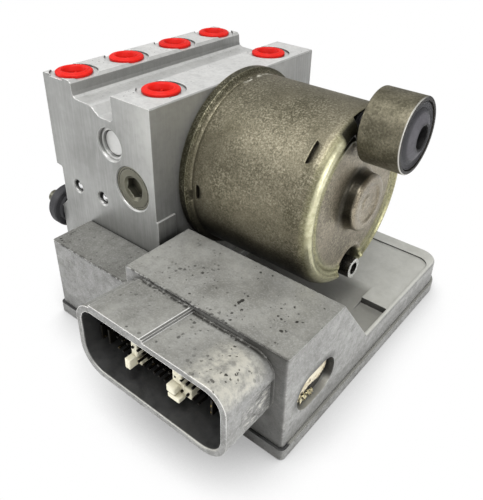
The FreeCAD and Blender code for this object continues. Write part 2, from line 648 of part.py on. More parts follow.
def cover_screws():
    out = []
    for x, y in SCREWS:
        head = cyl_z(COVER_BOTTOM + 0.3, COVER_BOTTOM + 2.6, x, y, 3.8)
        shank = cyl_z(COVER_BOTTOM + 2.5, RIM_BOTTOM + 4.0, x, y, 1.9)
        slot = cyl_z(COVER_BOTTOM, COVER_BOTTOM + 1.8, x, y, 1.8)
        out.append(cut(fuse([head, shank]), [slot]))
    return group(out)


# Valve coils in the control unit, round the guide tubes
def valve_coils():
    out = []
    for x in (INLET_VALVE_X, OUTLET_VALVE_X):
        for y in VALVE_Y:
            can = cyl_z(-88.4, COIL_TOP, x, y, COIL_R)
            waist = cyl_z(-86.6, COIL_TOP - 1.8, x, y, COIL_R + 1)
            waist = waist.cut(cyl_z(-86.7, COIL_TOP - 1.7, x, y, COIL_R - 0.8))
            out.append(cut(can, [waist, cyl_z(-89, -70, x, y, SLEEVE_R + 0.3)]))
    return group(out)


def coil_carrier():
    plate = box(ECU_X0 + WALL + 0.4, -3.2, 6.0, BLOCK_LEN - 6.0, -90.2, -88.4)
    tools = []
    for x in (INLET_VALVE_X, OUTLET_VALVE_X):
        for y in VALVE_Y:
            tools.append(cyl_z(-91, -88, x, y, 5.0))
    for x, y in SCREWS:
        tools.append(cyl_z(-99, -80, x, y, 4.4))
    return cut(plate, tools)


# Circuit board with its parts, held between the posts and the cover
def circuit_board():
    z0 = BOARD_TOP - BOARD_T
    adds = [box(ECU_X0 + WALL + 0.4, ECU_X1 - WALL - 0.4, ECU_Y0 + WALL + 0.4, ECU_Y1 - WALL - 0.4, z0, BOARD_TOP)]
    chips = [(18, 40, 22, 44, 1.6), (48, 62, 20, 36, 1.4), (14, 30, 70, 84, 1.8), (40, 58, 72, 92, 2.2),
             (30, 36, 52, 60, 2.0), (48, 54, 48, 56, 2.0), (10, 16, 92, 102, 2.6)]
    for x0, x1, y0, y1, h in chips:
        adds.append(box(x0, x1, y0, y1, BOARD_TOP - 0.1, BOARD_TOP + h))
    body = fuse(adds)
    return cut(body, [cyl_z(-99, -80, x, y, 4.4) for x, y in SCREWS])


# Connector: insert, pins and coding keys inside the shroud
PIN_X = [18.0 + 2.5 * k for k in range(16)]
PIN_Z = [-66.0, -71.0]
BLADE_X = [9.5, 13.5, 61.0, 65.5]


def connector_insert():
    plate = shroud_run(INSERT_FACE, ECU_Y0 + WALL + 0.9, SHROUD_WALL + FIT)
    tools = []
    for z in PIN_Z:
        for x in PIN_X:
            tools.append(box(x - 0.4, x + 0.4, -40, 0, z - 0.4, z + 0.4))
    for x in BLADE_X:
        tools.append(box(x - 0.5, x + 0.5, -40, 0, -72.0, -65.0))
    bars = [box(16.0, 57.5, INSERT_FACE - 4.0, INSERT_FACE + 0.5, z0, z1) for z0, z1 in INSERT_BARS]
    return cut(fuse([plate] + bars), tools)


def connector_pins():
    out = []
    back = ECU_Y0 + WALL + 3.0
    for row, z in enumerate(PIN_Z):
        for x in PIN_X:
            leg = back + 2.0 + 3.0 * row
            pin = box(x - 0.35, x + 0.35, -37.0, leg + 0.7, z - 0.35, z + 0.35)
            drop = box(x - 0.35, x + 0.35, leg, leg + 0.7, BOARD_TOP, z)
            out.append(fuse([pin, drop]))
    for x in BLADE_X:
        blade = box(x - 0.4, x + 0.4, -37.0, back + 4.0, -71.8, -65.2)
        drop = box(x - 0.4, x + 0.4, back, back + 4.0, BOARD_TOP, -66.0)
        out.append(fuse([blade, drop]))
    return group(out)


def connector_keys():
    f = INSERT_FACE
    left = fuse([box(21.0, 24.0, -38.3, f, -77.0, -74.0), box(22.0, 24.8, -36.0, -32.5, -74.5, -71.8),
                 box(23.6, 26.5, -35.0, f, -77.0, -75.2)])
    right = fuse([box(44.5, 51.0, -37.5, f, -77.6, -74.4), box(46.0, 49.0, -36.4, -33.0, -75.0, -72.0),
                  box(50.6, 53.0, -35.6, f, -76.6, -75.0), box(43.6, 47.6, -38.6, -36.0, -77.0, -75.4)])
    z0, z1 = INSERT_BARS[1]
    bar = box(10.0, 65.0, f - 4.0 - FIT, f + 1.0, z0 - FIT, z1 + FIT)
    return group([cut(left, [bar]), cut(right, [bar])])


def vent_disc():
    return vent_slot(VENT_FLOOR, VENT_FLOOR + 1.2, 0.3)


# Rotor: shaft with its eccentric, armature and commutator
def motor_shaft():
    y, z = AXIS_Y, AXIS_Z
    parts = [cyl_x(-8.0, 50.0, y, z, SHAFT_R), cyl_x(49.0, BOSS_END - 2.8, y, z, TAIL_R), cyl_x(-30.0, -16.0, y, z, TAIL_R),
             cyl_x(-17.2, -7.8, y + ECC, z, 6.0)]
    return fuse(parts)


def armature_core():
    core = cyl_x(15.0, 46.0, AXIS_Y, AXIS_Z, 22.3)
    tools = []
    for k in range(12):
        slot = box(14.0, 47.0, AXIS_Y - 0.9, AXIS_Y + 0.9, AXIS_Z + 18.0, AXIS_Z + 24.0)
        slot.rotate(V(0, AXIS_Y, AXIS_Z), V(1, 0, 0), 30 * k + 15)
        tools.append(slot)
    core = cut(core, tools)
    turns = [cyl_x(12.2, 15.2, AXIS_Y, AXIS_Z, 17.4), cyl_x(45.8, 49.0, AXIS_Y, AXIS_Z, 17.4)]
    return cut(fuse([core] + turns), [cyl_x(10.0, 50.0, AXIS_Y, AXIS_Z, SHAFT_R)])


def commutator():
    ring = cyl_x(4.6, 12.0, AXIS_Y, AXIS_Z, 9.0).cut(cyl_x(4.0, 13.0, AXIS_Y, AXIS_Z, SHAFT_R))
    tools = []
    for k in range(12):
        slot = box(4.0, 11.2, AXIS_Y - 0.25, AXIS_Y + 0.25, AXIS_Z + 8.2, AXIS_Z + 10.0)
        slot.rotate(V(0, AXIS_Y, AXIS_Z), V(1, 0, 0), 30 * k)
        tools.append(slot)
    return cut(ring, tools)


def eccentric_bearing():
    y = AXIS_Y + ECC
    ring = cyl_x(-16.6, -8.6, y, AXIS_Z, 9.2).cut(cyl_x(-17, -8, y, AXIS_Z, 6.0 + RUN))
    return ring


# Pump pistons that run against the eccentric, each with its return spring
PISTON_LEN = 14.0
PISTON_GAP = 11.3


def pump_piston(s):
    inner = AXIS_Y - s * PISTON_GAP
    outer = inner - s * PISTON_LEN
    y0, y1 = sorted((inner, outer))
    body = cyl_y(y0, y1, PUMP_X, AXIS_Z, PISTON_R - RUN)
    g0, g1 = sorted((outer + s * 3.0, outer + s * 4.4))
    groove = cyl_y(g0, g1, PUMP_X, AXIS_Z, PISTON_R + 1).cut(cyl_y(g0 - 1, g1 + 1, PUMP_X, AXIS_Z, PISTON_R - 0.7))
    return cut(body, [groove])


def pump_spring(s):
    start = PLUG_LEN if s > 0 else BLOCK_LEN - PLUG_LEN
    end = AXIS_Y - s * (PISTON_GAP + PISTON_LEN)
    return coil_spring((PUMP_X, start, AXIS_Z), (0, end - start, 0), 3.0, 0.45, 7)


save("valve_block", valve_block())
for i, (x, y) in enumerate(OUTLETS):
    save("outlet_cap_%d" % (i + 1), port_cap(x, y))
for i, (x, y) in enumerate(INLETS):
    save("inlet_cap_%d" % (i + 1), port_cap(x, y))
save("pump_plugs", pump_plugs())
save("damper_plugs", damper_plugs())
save("ball_seals", ball_seals())
save("accumulator_caps", accumulator_caps())
save("inlet_valve_sleeves", valve_sleeves(INLET_VALVE_X))
save("outlet_valve_sleeves", valve_sleeves(OUTLET_VALVE_X))
save("motor_can", motor_can())
save("motor_seal", motor_seal())
save("field_magnets", field_magnets())
save("brush_holder", brush_holder())
save("brushes", brushes())
save("front_bearing", bearing(-7.0, -0.8, 11.1, SHAFT_R + RUN))
save("rear_bearing", bearing(BOSS_END - 6.8, BOSS_END - 2.6, 8.0, TAIL_R + RUN))
save("motor_bolt", lower_bolt())
save("front_bush_stud", front_bush_stud())
save("front_bush_cup", front_bush_cup())
save("front_bush_rubber", front_bush_rubber())
for name, y in zip("ab", REAR_BUSH_Y):
    save("rear_bush_rubber_" + name, rear_bush_rubber(y))
    save("rear_stud_" + name, rear_stud(y))
save("ecu_housing", ecu_housing())
save("ecu_cover", ecu_cover())
save("cover_seal", cover_seal())
save("cover_screws", cover_screws())
save("valve_coils", valve_coils())
save("coil_carrier", coil_carrier())
save("circuit_board", circuit_board())
save("connector_insert", connector_insert())
save("connector_pins", connector_pins())
save("connector_keys", connector_keys())
save("vent_disc", vent_disc())
save("motor_shaft", motor_shaft())
save("armature_core", armature_core())
save("commutator", commutator())
save("eccentric_bearing", eccentric_bearing())
for name, s in (("a", 1.0), ("b", -1.0)):
    save("pump_piston_" + name, pump_piston(s))
    save("pump_spring_" + name, pump_spring(s))
for name, y in zip("ab", ACC_Y):
    save("accumulator_piston_" + name, accumulator_piston(y))
    save("accumulator_spring_" + name, accumulator_spring(y))
for i, y in enumerate(VALVE_Y):
    save("inlet_valve_armature_%d" % (i + 1), valve_armature(INLET_VALVE_X, y))
    save("outlet_valve_armature_%d" % (i + 1), valve_armature(OUTLET_VALVE_X, y))
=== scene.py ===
import math

import bpy
import bmesh
from mathutils import Matrix, Vector
from random import Random


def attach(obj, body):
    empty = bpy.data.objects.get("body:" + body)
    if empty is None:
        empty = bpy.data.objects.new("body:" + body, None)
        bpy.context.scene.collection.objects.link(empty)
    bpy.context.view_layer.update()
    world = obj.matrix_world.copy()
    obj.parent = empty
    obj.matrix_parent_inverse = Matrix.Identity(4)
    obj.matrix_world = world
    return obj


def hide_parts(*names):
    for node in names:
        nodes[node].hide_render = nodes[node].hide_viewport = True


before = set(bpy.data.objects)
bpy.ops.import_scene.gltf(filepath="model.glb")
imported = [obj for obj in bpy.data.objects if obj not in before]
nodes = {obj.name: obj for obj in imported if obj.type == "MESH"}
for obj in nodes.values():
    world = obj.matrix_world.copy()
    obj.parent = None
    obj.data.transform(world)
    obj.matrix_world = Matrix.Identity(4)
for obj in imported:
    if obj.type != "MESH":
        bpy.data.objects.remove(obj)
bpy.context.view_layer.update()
scene = bpy.context.scene

# Camera: the place, aim and lens of the photograph, solved from the straight edges of the
# valve block and the control unit. Distances are in metres, angles in degrees.
PHOTO_WIDTH, PHOTO_HEIGHT, CENTRE_X, CENTRE_Y, FOCAL_PX = 483.0, 500.0, 254.65, 218.28, 581.35
CAMERA_AZ, CAMERA_EL, CAMERA_ROLL, CAMERA_DIST = 37.32, 31.98, 2.00, 0.44743
CAMERA_TARGET = Vector((-0.105465, 0.133700, -0.064780))
SENSOR_MM = 36.0
az, el, roll = (math.radians(a) for a in (CAMERA_AZ, CAMERA_EL, CAMERA_ROLL))
back = Vector((math.sin(az) * math.cos(el), -math.cos(az) * math.cos(el), math.sin(el)))
right = Vector((0, 0, 1)).cross(back).normalized()
up = back.cross(right)
cam_right = right * math.cos(roll) + up * math.sin(roll)
cam_up = up * math.cos(roll) - right * math.sin(roll)
lens = bpy.data.cameras.new("camera")
camera = bpy.data.objects.new("camera", lens)
scene.collection.objects.link(camera)
camera.matrix_world = Matrix.Translation(CAMERA_TARGET + back * CAMERA_DIST) @ Matrix(
    (cam_right, cam_up, back)).transposed().to_4x4()
lens.sensor_width = SENSOR_MM
lens.lens = SENSOR_MM * FOCAL_PX / PHOTO_HEIGHT
lens.shift_x = (PHOTO_WIDTH / 2 - CENTRE_X) / PHOTO_HEIGHT
lens.shift_y = (CENTRE_Y - PHOTO_HEIGHT / 2) / PHOTO_HEIGHT
lens.clip_start, lens.clip_end = 0.01, 20.0
scene.camera = camera

# Studio: a pale world, brighter above, which the camera itself sees as plain white, and
# three soft round lamps: one high over the connector, one from each side.
SKY_HEIGHT, SKY_STRENGTH = (-0.2, 1.0), (0.30, 0.75)
LAMPS = (("lamp_key", (0.12, -0.32, 0.85), (0, 0, 0.04), 0.55, 7.5),
         ("lamp_left", (-0.80, -0.45, 0.50), (0, 0, 0.05), 0.50, 2.6),
         ("lamp_right", (0.85, -0.10, 0.30), (0.02, 0, 0.03), 0.40, 2.4))


# A node with its inputs set or linked: _0 means the first input, From_Min "From Min"
def add(tree, kind, props=None, **inputs):
    n = tree.nodes.new(kind)
    for key, value in (props or {}).items():
        setattr(n, key, value)
    for key, value in inputs.items():
        sock = n.inputs[int(key[1:])] if key[0] == "_" else n.inputs[key.replace("_", " ")]
        if isinstance(value, bpy.types.NodeSocket):
            tree.links.new(value, sock)
        else:
            sock.default_value = value
    return n


# A value carried over from lo..hi to a..b and held at both ends
def span(tree, value, lo, hi, a=0.0, b=1.0):
    return add(tree, "ShaderNodeMapRange", Value=value, From_Min=lo, From_Max=hi, To_Min=a, To_Max=b).outputs[0]


# One shader for what the camera sees straight on, another for light and mirrored rays
def seen_or_lit(tree, lit, seen):
    seen_straight = tree.nodes.new("ShaderNodeLightPath").outputs["Is Camera Ray"]
    return add(tree, "ShaderNodeMixShader", _0=seen_straight, _1=lit.outputs[0], _2=seen.outputs[0]).outputs[0]


scene.view_settings.view_transform = "Standard"
world = bpy.data.worlds.new("studio")
scene.world = world
world.use_nodes = True
t = world.node_tree
t.nodes.clear()
height = add(t, "ShaderNodeSeparateXYZ", _0=t.nodes.new("ShaderNodeTexCoord").outputs["Generated"]).outputs["Z"]
sky = add(t, "ShaderNodeBackground", Color=(1, 1, 1, 1), Strength=span(t, height, *SKY_HEIGHT, *SKY_STRENGTH))
white = add(t, "ShaderNodeBackground", Color=(1, 1, 1, 1))
add(t, "ShaderNodeOutputWorld", _0=seen_or_lit(t, sky, white))
for name, place, aim, width, watts in LAMPS:
    light = bpy.data.lights.new(name, "AREA")
    light.shape, light.size, light.energy = "DISK", width, watts
    lamp = bpy.data.objects.new(name, light)
    scene.collection.objects.link(lamp)
    lamp.location = place
    lamp.rotation_euler = (Vector(aim) - Vector(place)).to_track_quat("-Z", "Y").to_euler()

# Floor: a wide pale sheet just under the part. The camera sees it white, darkened where
# the part stands close over it, as the soft contact shadow of the photograph.
FLOOR_HALF, FLOOR_Z, FLOOR_GREY = 3.0, -0.0004, 0.9
SHADOW_REACH, SHADOW_OPEN, SHADOW_DEPTH = 0.03, (0.25, 0.82), (0.35, 1.0)
sheet = bpy.data.meshes.new("floor")
sheet.from_pydata([(x, y, FLOOR_Z) for x, y in ((-FLOOR_HALF, -FLOOR_HALF), (FLOOR_HALF, -FLOOR_HALF),
                                                (FLOOR_HALF, FLOOR_HALF), (-FLOOR_HALF, FLOOR_HALF))],
                  [], [(0, 1, 2, 3)])
floor = bpy.data.objects.new("floor", sheet)
scene.collection.objects.link(floor)
floor_paper = bpy.data.materials.new("floor")
floor_paper.use_nodes = True
t = floor_paper.node_tree
t.nodes.clear()
openness = add(t, "ShaderNodeAmbientOcclusion", Distance=SHADOW_REACH).outputs["AO"]
lit = add(t, "ShaderNodeBsdfDiffuse", Color=(FLOOR_GREY, FLOOR_GREY, FLOOR_GREY, 1))
seen = add(t, "ShaderNodeEmission", Color=span(t, openness, *SHADOW_OPEN, *SHADOW_DEPTH), Strength=1.0)
add(t, "ShaderNodeOutputMaterial", _0=seen_or_lit(t, lit, seen))
sheet.materials.append(floor_paper)

# Valve block: one block of aluminium, milled all over, with a channel along its top and a
# foot at the rear; motor and control unit are bolted to it. Satin, with fine tool lines,
# faint stains and bright broken edges. Places are in metres in the frame of the part.
FACING = (0.7, 0.95)
PAINTED_SHEEN_X, PAINTED_SHEEN_Z = (-0.038, -0.019), (0.055, 0.090)
FRONT_LIT_Z, FRONT_DIM_Z, FRONT_FAR_SHADE_Y = (0.060, 0.092), (0.066, 0.030), (0.030, 0.045)
CHANNEL_SHADE_Z = (0.094, 0.090)
TOOL_STRETCH, TOOL_SCALE = 0.06, 900.0


def noise(tree, vec, scale, detail=3.0, rough=0.55):
    return add(tree, "ShaderNodeTexNoise", Vector=vec, Scale=scale, Detail=detail, Roughness=rough).outputs["Fac"]


def reckon(tree, op, a, b=0.5):
    return add(tree, "ShaderNodeMath", {"operation": op}, _0=a, _1=b).outputs[0]


def times(tree, product, *others):
    for other in others:
        product = reckon(tree, "MULTIPLY", product, other)
    return product


def mix(tree, share, a, b):
    n = tree.nodes.new("ShaderNodeMix")
    n.data_type = "RGBA"
    tree.links.new(share, n.inputs[0])
    for i, value in ((6, a), (7, b)):
        if isinstance(value, bpy.types.NodeSocket):
            tree.links.new(value, n.inputs[i])
        else:
            n.inputs[i].default_value = (*value, 1)
    return n.outputs[2]


# Coats laid over a colour in turn, each a colour, its strength and the masks it shows in
def lay(tree, colour, *coats):
    for over, strength, *masks in coats:
        colour = mix(tree, times(tree, *masks, strength), colour, over)
    return colour


def parts_of(tree, vector):
    n = add(tree, "ShaderNodeSeparateXYZ", _0=vector)
    return n.outputs[0], n.outputs[1], n.outputs[2]


def stretched(tree, vec, *scales):
    return add(tree, "ShaderNodeVectorMath", {"operation": "MULTIPLY"}, _0=vec, _1=scales).outputs[0]


def normal_of(tree):
    return parts_of(tree, tree.nodes.new("ShaderNodeNewGeometry").outputs["Normal"])


# Wear and painted shade shared by the finishes: broad stains, mottling, fine grain, pits in
# loose patches, masks for worn edges and for darkening in tight corners, and painted shade in wide hollows
STAIN_SCALE, MOTTLE_SCALE, PATCH_SCALE, SHAKE_SCALE, SHAKE = 48.0, 330.0, 75.0, 1400.0, 0.0009
CREVICE_REACH, SHADE_REACH, PIT_REACH = 0.004, 0.030, 0.55
wear_and_shade = bpy.data.node_groups.new("wear_and_shade", "ShaderNodeTree")
wear_and_shade.interface.new_socket("Vector", in_out="INPUT", socket_type="NodeSocketVector")
for name, value in (("Grain Scale", 1500.0), ("Pit Scale", 600.0), ("Pit Amount", 0.5), ("Edge Width", 0.0005)):
    wear_and_shade.interface.new_socket(name, in_out="INPUT", socket_type="NodeSocketFloat").default_value = value
for name in ("Stain", "Mottle", "Grain", "Pits", "Edge", "Crevice", "Shade"):
    wear_and_shade.interface.new_socket(name, in_out="OUTPUT", socket_type="NodeSocketFloat")
given, made = wear_and_shade.nodes.new("NodeGroupInput").outputs, wear_and_shade.nodes.new("NodeGroupOutput").inputs
spot = given["Vector"]
wear_and_shade.links.new(span(wear_and_shade, noise(wear_and_shade, spot, STAIN_SCALE, 6.0, 0.62), 0.36, 0.66), made["Stain"])
wear_and_shade.links.new(span(wear_and_shade, noise(wear_and_shade, spot, MOTTLE_SCALE, 5.0, 0.66), 0.34, 0.68), made["Mottle"])
grain = add(wear_and_shade, "ShaderNodeTexNoise", Vector=spot, Scale=given["Grain Scale"], Detail=2.0)
wear_and_shade.links.new(grain.outputs["Fac"], made["Grain"])
shake = add(wear_and_shade, "ShaderNodeTexNoise", Vector=spot, Scale=SHAKE_SCALE, Detail=2.0).outputs["Color"]
shaken = add(wear_and_shade, "ShaderNodeVectorMath", {"operation": "MULTIPLY_ADD"}, _0=shake,
             _1=(SHAKE, SHAKE, SHAKE), _2=spot)
cell = add(wear_and_shade, "ShaderNodeTexVoronoi", Vector=shaken.outputs[0], Scale=given["Pit Scale"])
pick = add(wear_and_shade, "ShaderNodeSeparateColor", Color=cell.outputs["Color"]).outputs[0]
patch = span(wear_and_shade, noise(wear_and_shade, spot, PATCH_SCALE, 5.0, 0.68), 0.47, 0.66, 0.25, 1.0)
pit_size = times(wear_and_shade, reckon(wear_and_shade, "POWER", pick, 2.0), patch, given["Pit Amount"], PIT_REACH)
wear_and_shade.links.new(span(wear_and_shade, reckon(wear_and_shade, "SUBTRACT", pit_size, cell.outputs["Distance"]), -0.03, 0.07), made["Pits"])
rounded = add(wear_and_shade, "ShaderNodeBevel", {"samples": 6}, Radius=given["Edge Width"]).outputs[0]
flat = wear_and_shade.nodes.new("ShaderNodeNewGeometry").outputs["Normal"]
agree = add(wear_and_shade, "ShaderNodeVectorMath", {"operation": "DOT_PRODUCT"}, _0=rounded, _1=flat)
wear_and_shade.links.new(span(wear_and_shade, agree.outputs["Value"], 0.985, 0.86), made["Edge"])
corner = add(wear_and_shade, "ShaderNodeAmbientOcclusion", {"samples": 6}, Distance=CREVICE_REACH).outputs["AO"]
wear_and_shade.links.new(span(wear_and_shade, corner, 0.72, 0.22), made["Crevice"])
hollow = add(wear_and_shade, "ShaderNodeAmbientOcclusion", {"samples": 8}, Distance=SHADE_REACH).outputs["AO"]
wear_and_shade.links.new(span(wear_and_shade, hollow, 0.62, 0.12), made["Shade"])


# A new finish: the material, its tree and shader, the place on the part and the masks of wear and painted shade
def start_material(name, grain_scale=1500.0, pits=0.3, edge=0.0005, pit_scale=600.0):
    m = bpy.data.materials.new(name)
    m.use_nodes = True
    tree = m.node_tree
    tree.nodes.clear()
    shader = tree.nodes.new("ShaderNodeBsdfPrincipled")
    add(tree, "ShaderNodeOutputMaterial", _0=shader.outputs[0])
    where = tree.nodes.new("ShaderNodeTexCoord").outputs["Object"]
    masks = add(tree, "ShaderNodeGroup", {"node_tree": wear_and_shade}, Vector=where, Grain_Scale=grain_scale,
                Pit_Scale=pit_scale, Pit_Amount=pits, Edge_Width=edge)
    return m, tree, shader, where, masks.outputs


def coat(tree, shader, colour, roughness, metallic=0.0):
    tree.links.new(colour, shader.inputs["Base Color"])
    tree.links.new(roughness, shader.inputs["Roughness"])
    shader.inputs["Metallic"].default_value = metallic


def grain_rough(tree, masks, smoothest, roughest):
    return span(tree, masks["Grain"], 0.3, 0.7, smoothest, roughest)


def set_bump(tree, shader, height, strength, distance=0.0001, edge=0.0004):
    soft_edge = add(tree, "ShaderNodeBevel", {"samples": 4}, Radius=edge).outputs[0]
    bump = add(tree, "ShaderNodeBump", Height=height, Strength=strength, Distance=distance, Normal=soft_edge)
    tree.links.new(bump.outputs[0], shader.inputs["Normal"])


def give(material, *names):
    for n in names:
        me = nodes[n].data
        me.materials.clear()
        me.materials.append(material)


milled_aluminium, t, bsdf, place, w = start_material("milled_aluminium", 2400.0, 0.75, 0.0005, 900.0)
px, py, pz = parts_of(t, place)
nx, ny, nz = normal_of(t)
upward, frontward, endward = span(t, nz, *FACING), span(t, nx, *FACING), span(t, ny, -FACING[0], -FACING[1])
tool = noise(t, stretched(t, place, 1.0, 1.0, TOOL_STRETCH), TOOL_SCALE, 3.0, 0.6)
col = lay(
    t, mix(t, w["Stain"], (0.300, 0.302, 0.292), (0.235, 0.236, 0.226)),
    # the end face in painted shade, with a painted sheen on its upper half, then the front in painted light above and
    # in painted shade below and far off
    ((0.185, 0.188, 0.180), 0.35, endward),
    ((0.50, 0.50, 0.475), 0.62, endward, span(t, px, *PAINTED_SHEEN_X), span(t, pz, *PAINTED_SHEEN_Z)),
    ((0.44, 0.44, 0.42), 0.40, frontward, span(t, pz, *FRONT_LIT_Z)),
    ((0.085, 0.085, 0.083), 0.75, frontward, span(t, pz, *FRONT_DIM_Z)),
    ((0.130, 0.130, 0.126), 0.45, frontward, span(t, py, *FRONT_FAR_SHADE_Y)),
    # painted light on the slopes and on the top, painted shade on the floor of the channel
    ((0.55, 0.55, 0.53), 0.60, span(t, nz, 0.25, 0.75)),
    ((0.80, 0.80, 0.78), 0.95, upward),
    ((0.50, 0.50, 0.49), 0.55, upward, span(t, pz, *CHANNEL_SHADE_Z)),
    # tool lines, mottling, bright edges, darkened corners, pits, and painted shade in hollows
    ((0.44, 0.44, 0.43), 0.22, span(t, tool, 0.42, 0.68)),
    ((0.15, 0.15, 0.145), 0.16, span(t, w["Mottle"], 0.35, 0.95)),
    ((0.66, 0.66, 0.64), 0.75, w["Edge"]),
    ((0.030, 0.030, 0.028), 0.72, w["Crevice"]),
    ((0.11, 0.105, 0.10), 0.9, w["Pits"], upward),
    ((0.020, 0.020, 0.018), 0.72, w["Shade"], span(t, nz, 0.6, 0.2)))
coat(t, bsdf, col, span(t, w["Stain"], 0.0, 1.0, 0.36, 0.50), 0.70)
set_bump(t, bsdf, reckon(t, "ADD", tool, w["Grain"]), 0.14, edge=0.0007)
give(milled_aluminium, "valve_block")

# Port caps: moulded in bright red plastic and pushed into the line ports, two at the front
# rail and four at the rear. Satin, paler on the rims and deeper in their recesses.
CAP_GLOSS = 0.16
red_plastic, t, bsdf, place, w = start_material("red_cap_plastic", 1800.0, 0.0)
col = lay(t, mix(t, w["Stain"], (0.60, 0.010, 0.005), (0.48, 0.007, 0.004)),
          ((0.86, 0.045, 0.025), 0.35, w["Edge"]),
          ((0.34, 0.006, 0.005), 0.45, w["Crevice"]))
coat(t, bsdf, col, grain_rough(t, w, 0.42, 0.56))
bsdf.inputs["Specular IOR Level"].default_value = CAP_GLOSS
set_bump(t, bsdf, w["Grain"], 0.06)
give(red_plastic, *[n for n in nodes if "_cap_" in n])

# Screw plugs of the pump bores, studs of the bushes and cover screws: turned or headed
# steel under olive chromate, near-black in the sockets.
olive_steel, t, bsdf, place, w = start_material("olive_steel", 1600.0, 0.3)
col = lay(t, mix(t, w["Stain"], (0.064, 0.062, 0.044), (0.110, 0.107, 0.080)),
          ((0.20, 0.195, 0.15), 0.35, w["Mottle"]),
          ((0.42, 0.41, 0.34), 0.6, w["Edge"]),
          ((0.010, 0.009, 0.007), 1.0, w["Crevice"]))
coat(t, bsdf, col, grain_rough(t, w, 0.32, 0.50), 0.80)
set_bump(t, bsdf, w["Grain"], 0.2)
give(olive_steel, "pump_plugs", "front_bush_stud", "rear_stud_a", "rear_stud_b", "cover_screws")

# Lower motor bolt: a socket bolt that holds the motor to the block, with black oxidised
# flanks and a painted highlight on its end.
oxidised_steel, t, bsdf, place, w = start_material("oxidised_steel", 1700.0, 0.2)
frontward = normal_of(t)[0]
col = lay(t, mix(t, w["Mottle"], (0.030, 0.029, 0.026), (0.060, 0.057, 0.050)),
          # painted highlight: the end, facing along x, painted near-white
          ((0.70, 0.70, 0.68), 1.0, span(t, frontward, 0.4, 0.8)),
          ((0.010, 0.010, 0.009), 0.85, w["Crevice"]))
coat(t, bsdf, col, grain_rough(t, w, 0.22, 0.34), 0.85)
set_bump(t, bsdf, w["Grain"], 0.1)
give(oxidised_steel, "motor_bolt")

# Discs staked into the damper bores, and the accumulator pistons: turned from aluminium,
# pale and lightly mottled, dark in the staking groove.
turned_aluminium, t, bsdf, place, w = start_material("turned_aluminium", 2200.0, 0.05)
col = lay(t, mix(t, w["Stain"], (0.62, 0.62, 0.60), (0.50, 0.50, 0.49)),
          ((0.36, 0.36, 0.35), 0.2, w["Mottle"]),
          ((0.05, 0.05, 0.047), 0.8, w["Crevice"]))
coat(t, bsdf, col, grain_rough(t, w, 0.32, 0.44), 0.65)
set_bump(t, bsdf, w["Grain"], 0.1)
give(turned_aluminium, "damper_plugs", "accumulator_piston_a", "accumulator_piston_b")

# Ground steel: the balls pressed into the cross drillings, and inside the block and motor
# the shaft, bearings, valve tubes, armatures, pump pistons and springs.
bright_steel, t, bsdf, place, w = start_material("bright_steel", 2400.0, 0.02)
col = lay(t, mix(t, w["Stain"], (0.66, 0.66, 0.66), (0.54, 0.54, 0.55)),
          ((0.07, 0.07, 0.07), 0.4, w["Crevice"]))
coat(t, bsdf, col, grain_rough(t, w, 0.14, 0.24), 0.90)
set_bump(t, bsdf, w["Grain"], 0.05)
give(bright_steel, "ball_seals", "accumulator_caps", "inlet_valve_sleeves", "outlet_valve_sleeves",
     "front_bearing", "rear_bearing", "motor_shaft", "eccentric_bearing", "pump_piston_a", "pump_piston_b",
     "pump_spring_a", "pump_spring_b", "accumulator_spring_a", "accumulator_spring_b",
     *[n for n in nodes if "valve_armature" in n])

# Motor housing: deep-drawn steel with a rolled flange, under worn yellow chromate. The wall
# is olive brown and sparkles, the shoulder is brassy, the pressed end pinkish. Finish in
# metres in the frame of the part, mesh in millimetres as drawn and moved by ROW.
AXIS_Y, AXIS_Z, BUSH_Z = 0.00765, 0.0627, 0.0941
END_FACE_X, FLANGE_X, SHOULDER_R = (0.0362, 0.0392), (-0.0132, -0.0140), (0.0285, 0.0262)
SMOKED_Z, SMOKED_X = (0.082, 0.095), (0.024, 0.004)
UNDERSIDE_SHADE_Z, NOT_END_X = (0.060, 0.038), (0.040, 0.034)
BOSS_SHADOW_R, BOSS_SHADOW_X = (0.0098, 0.0108, 0.0128, 0.0152), (0.0382, 0.0390, 0.0426, 0.0436)
BOSS_SHADOW_AWAY = (0.002, 0.010)
SHADOW_BUSH_R, SHADOW_X = (0.0172, 0.0156), (0.0345, 0.0365)
SHADOW_R = (0.0275, 0.0290, 0.0350, 0.0357)
SPECK_SCALE, FINE_SCALE, CLOUD_SCALE, RUB_SCALE, LIVELY_SCALE, SCUFF_SCALE = 1250.0, 2100.0, 95.0, 38.0, 60.0, 420.0
CREST_HIGHLIGHT_X, CREST_HIGHLIGHT_R = (0.0372, 0.0386), (0.0320, 0.0326, 0.0340, 0.0350)
SCUFF_X, SCUFF_Y, SCUFF_Z = (-0.0132, -0.0126, -0.0106, -0.0098), (0.0, 0.003), (0.088, 0.092)


# A mask that is full from full to fade, and nothing before start and past gone
def band(tree, value, start, full, fade, gone):
    return times(tree, span(tree, value, start, full), span(tree, value, gone, fade))


def less(tree, a, b):
    return reckon(tree, "SUBTRACT", a, b)


def length(tree, a, b):
    return reckon(tree, "SQRT", reckon(tree, "ADD", times(tree, a, a), times(tree, b, b)))


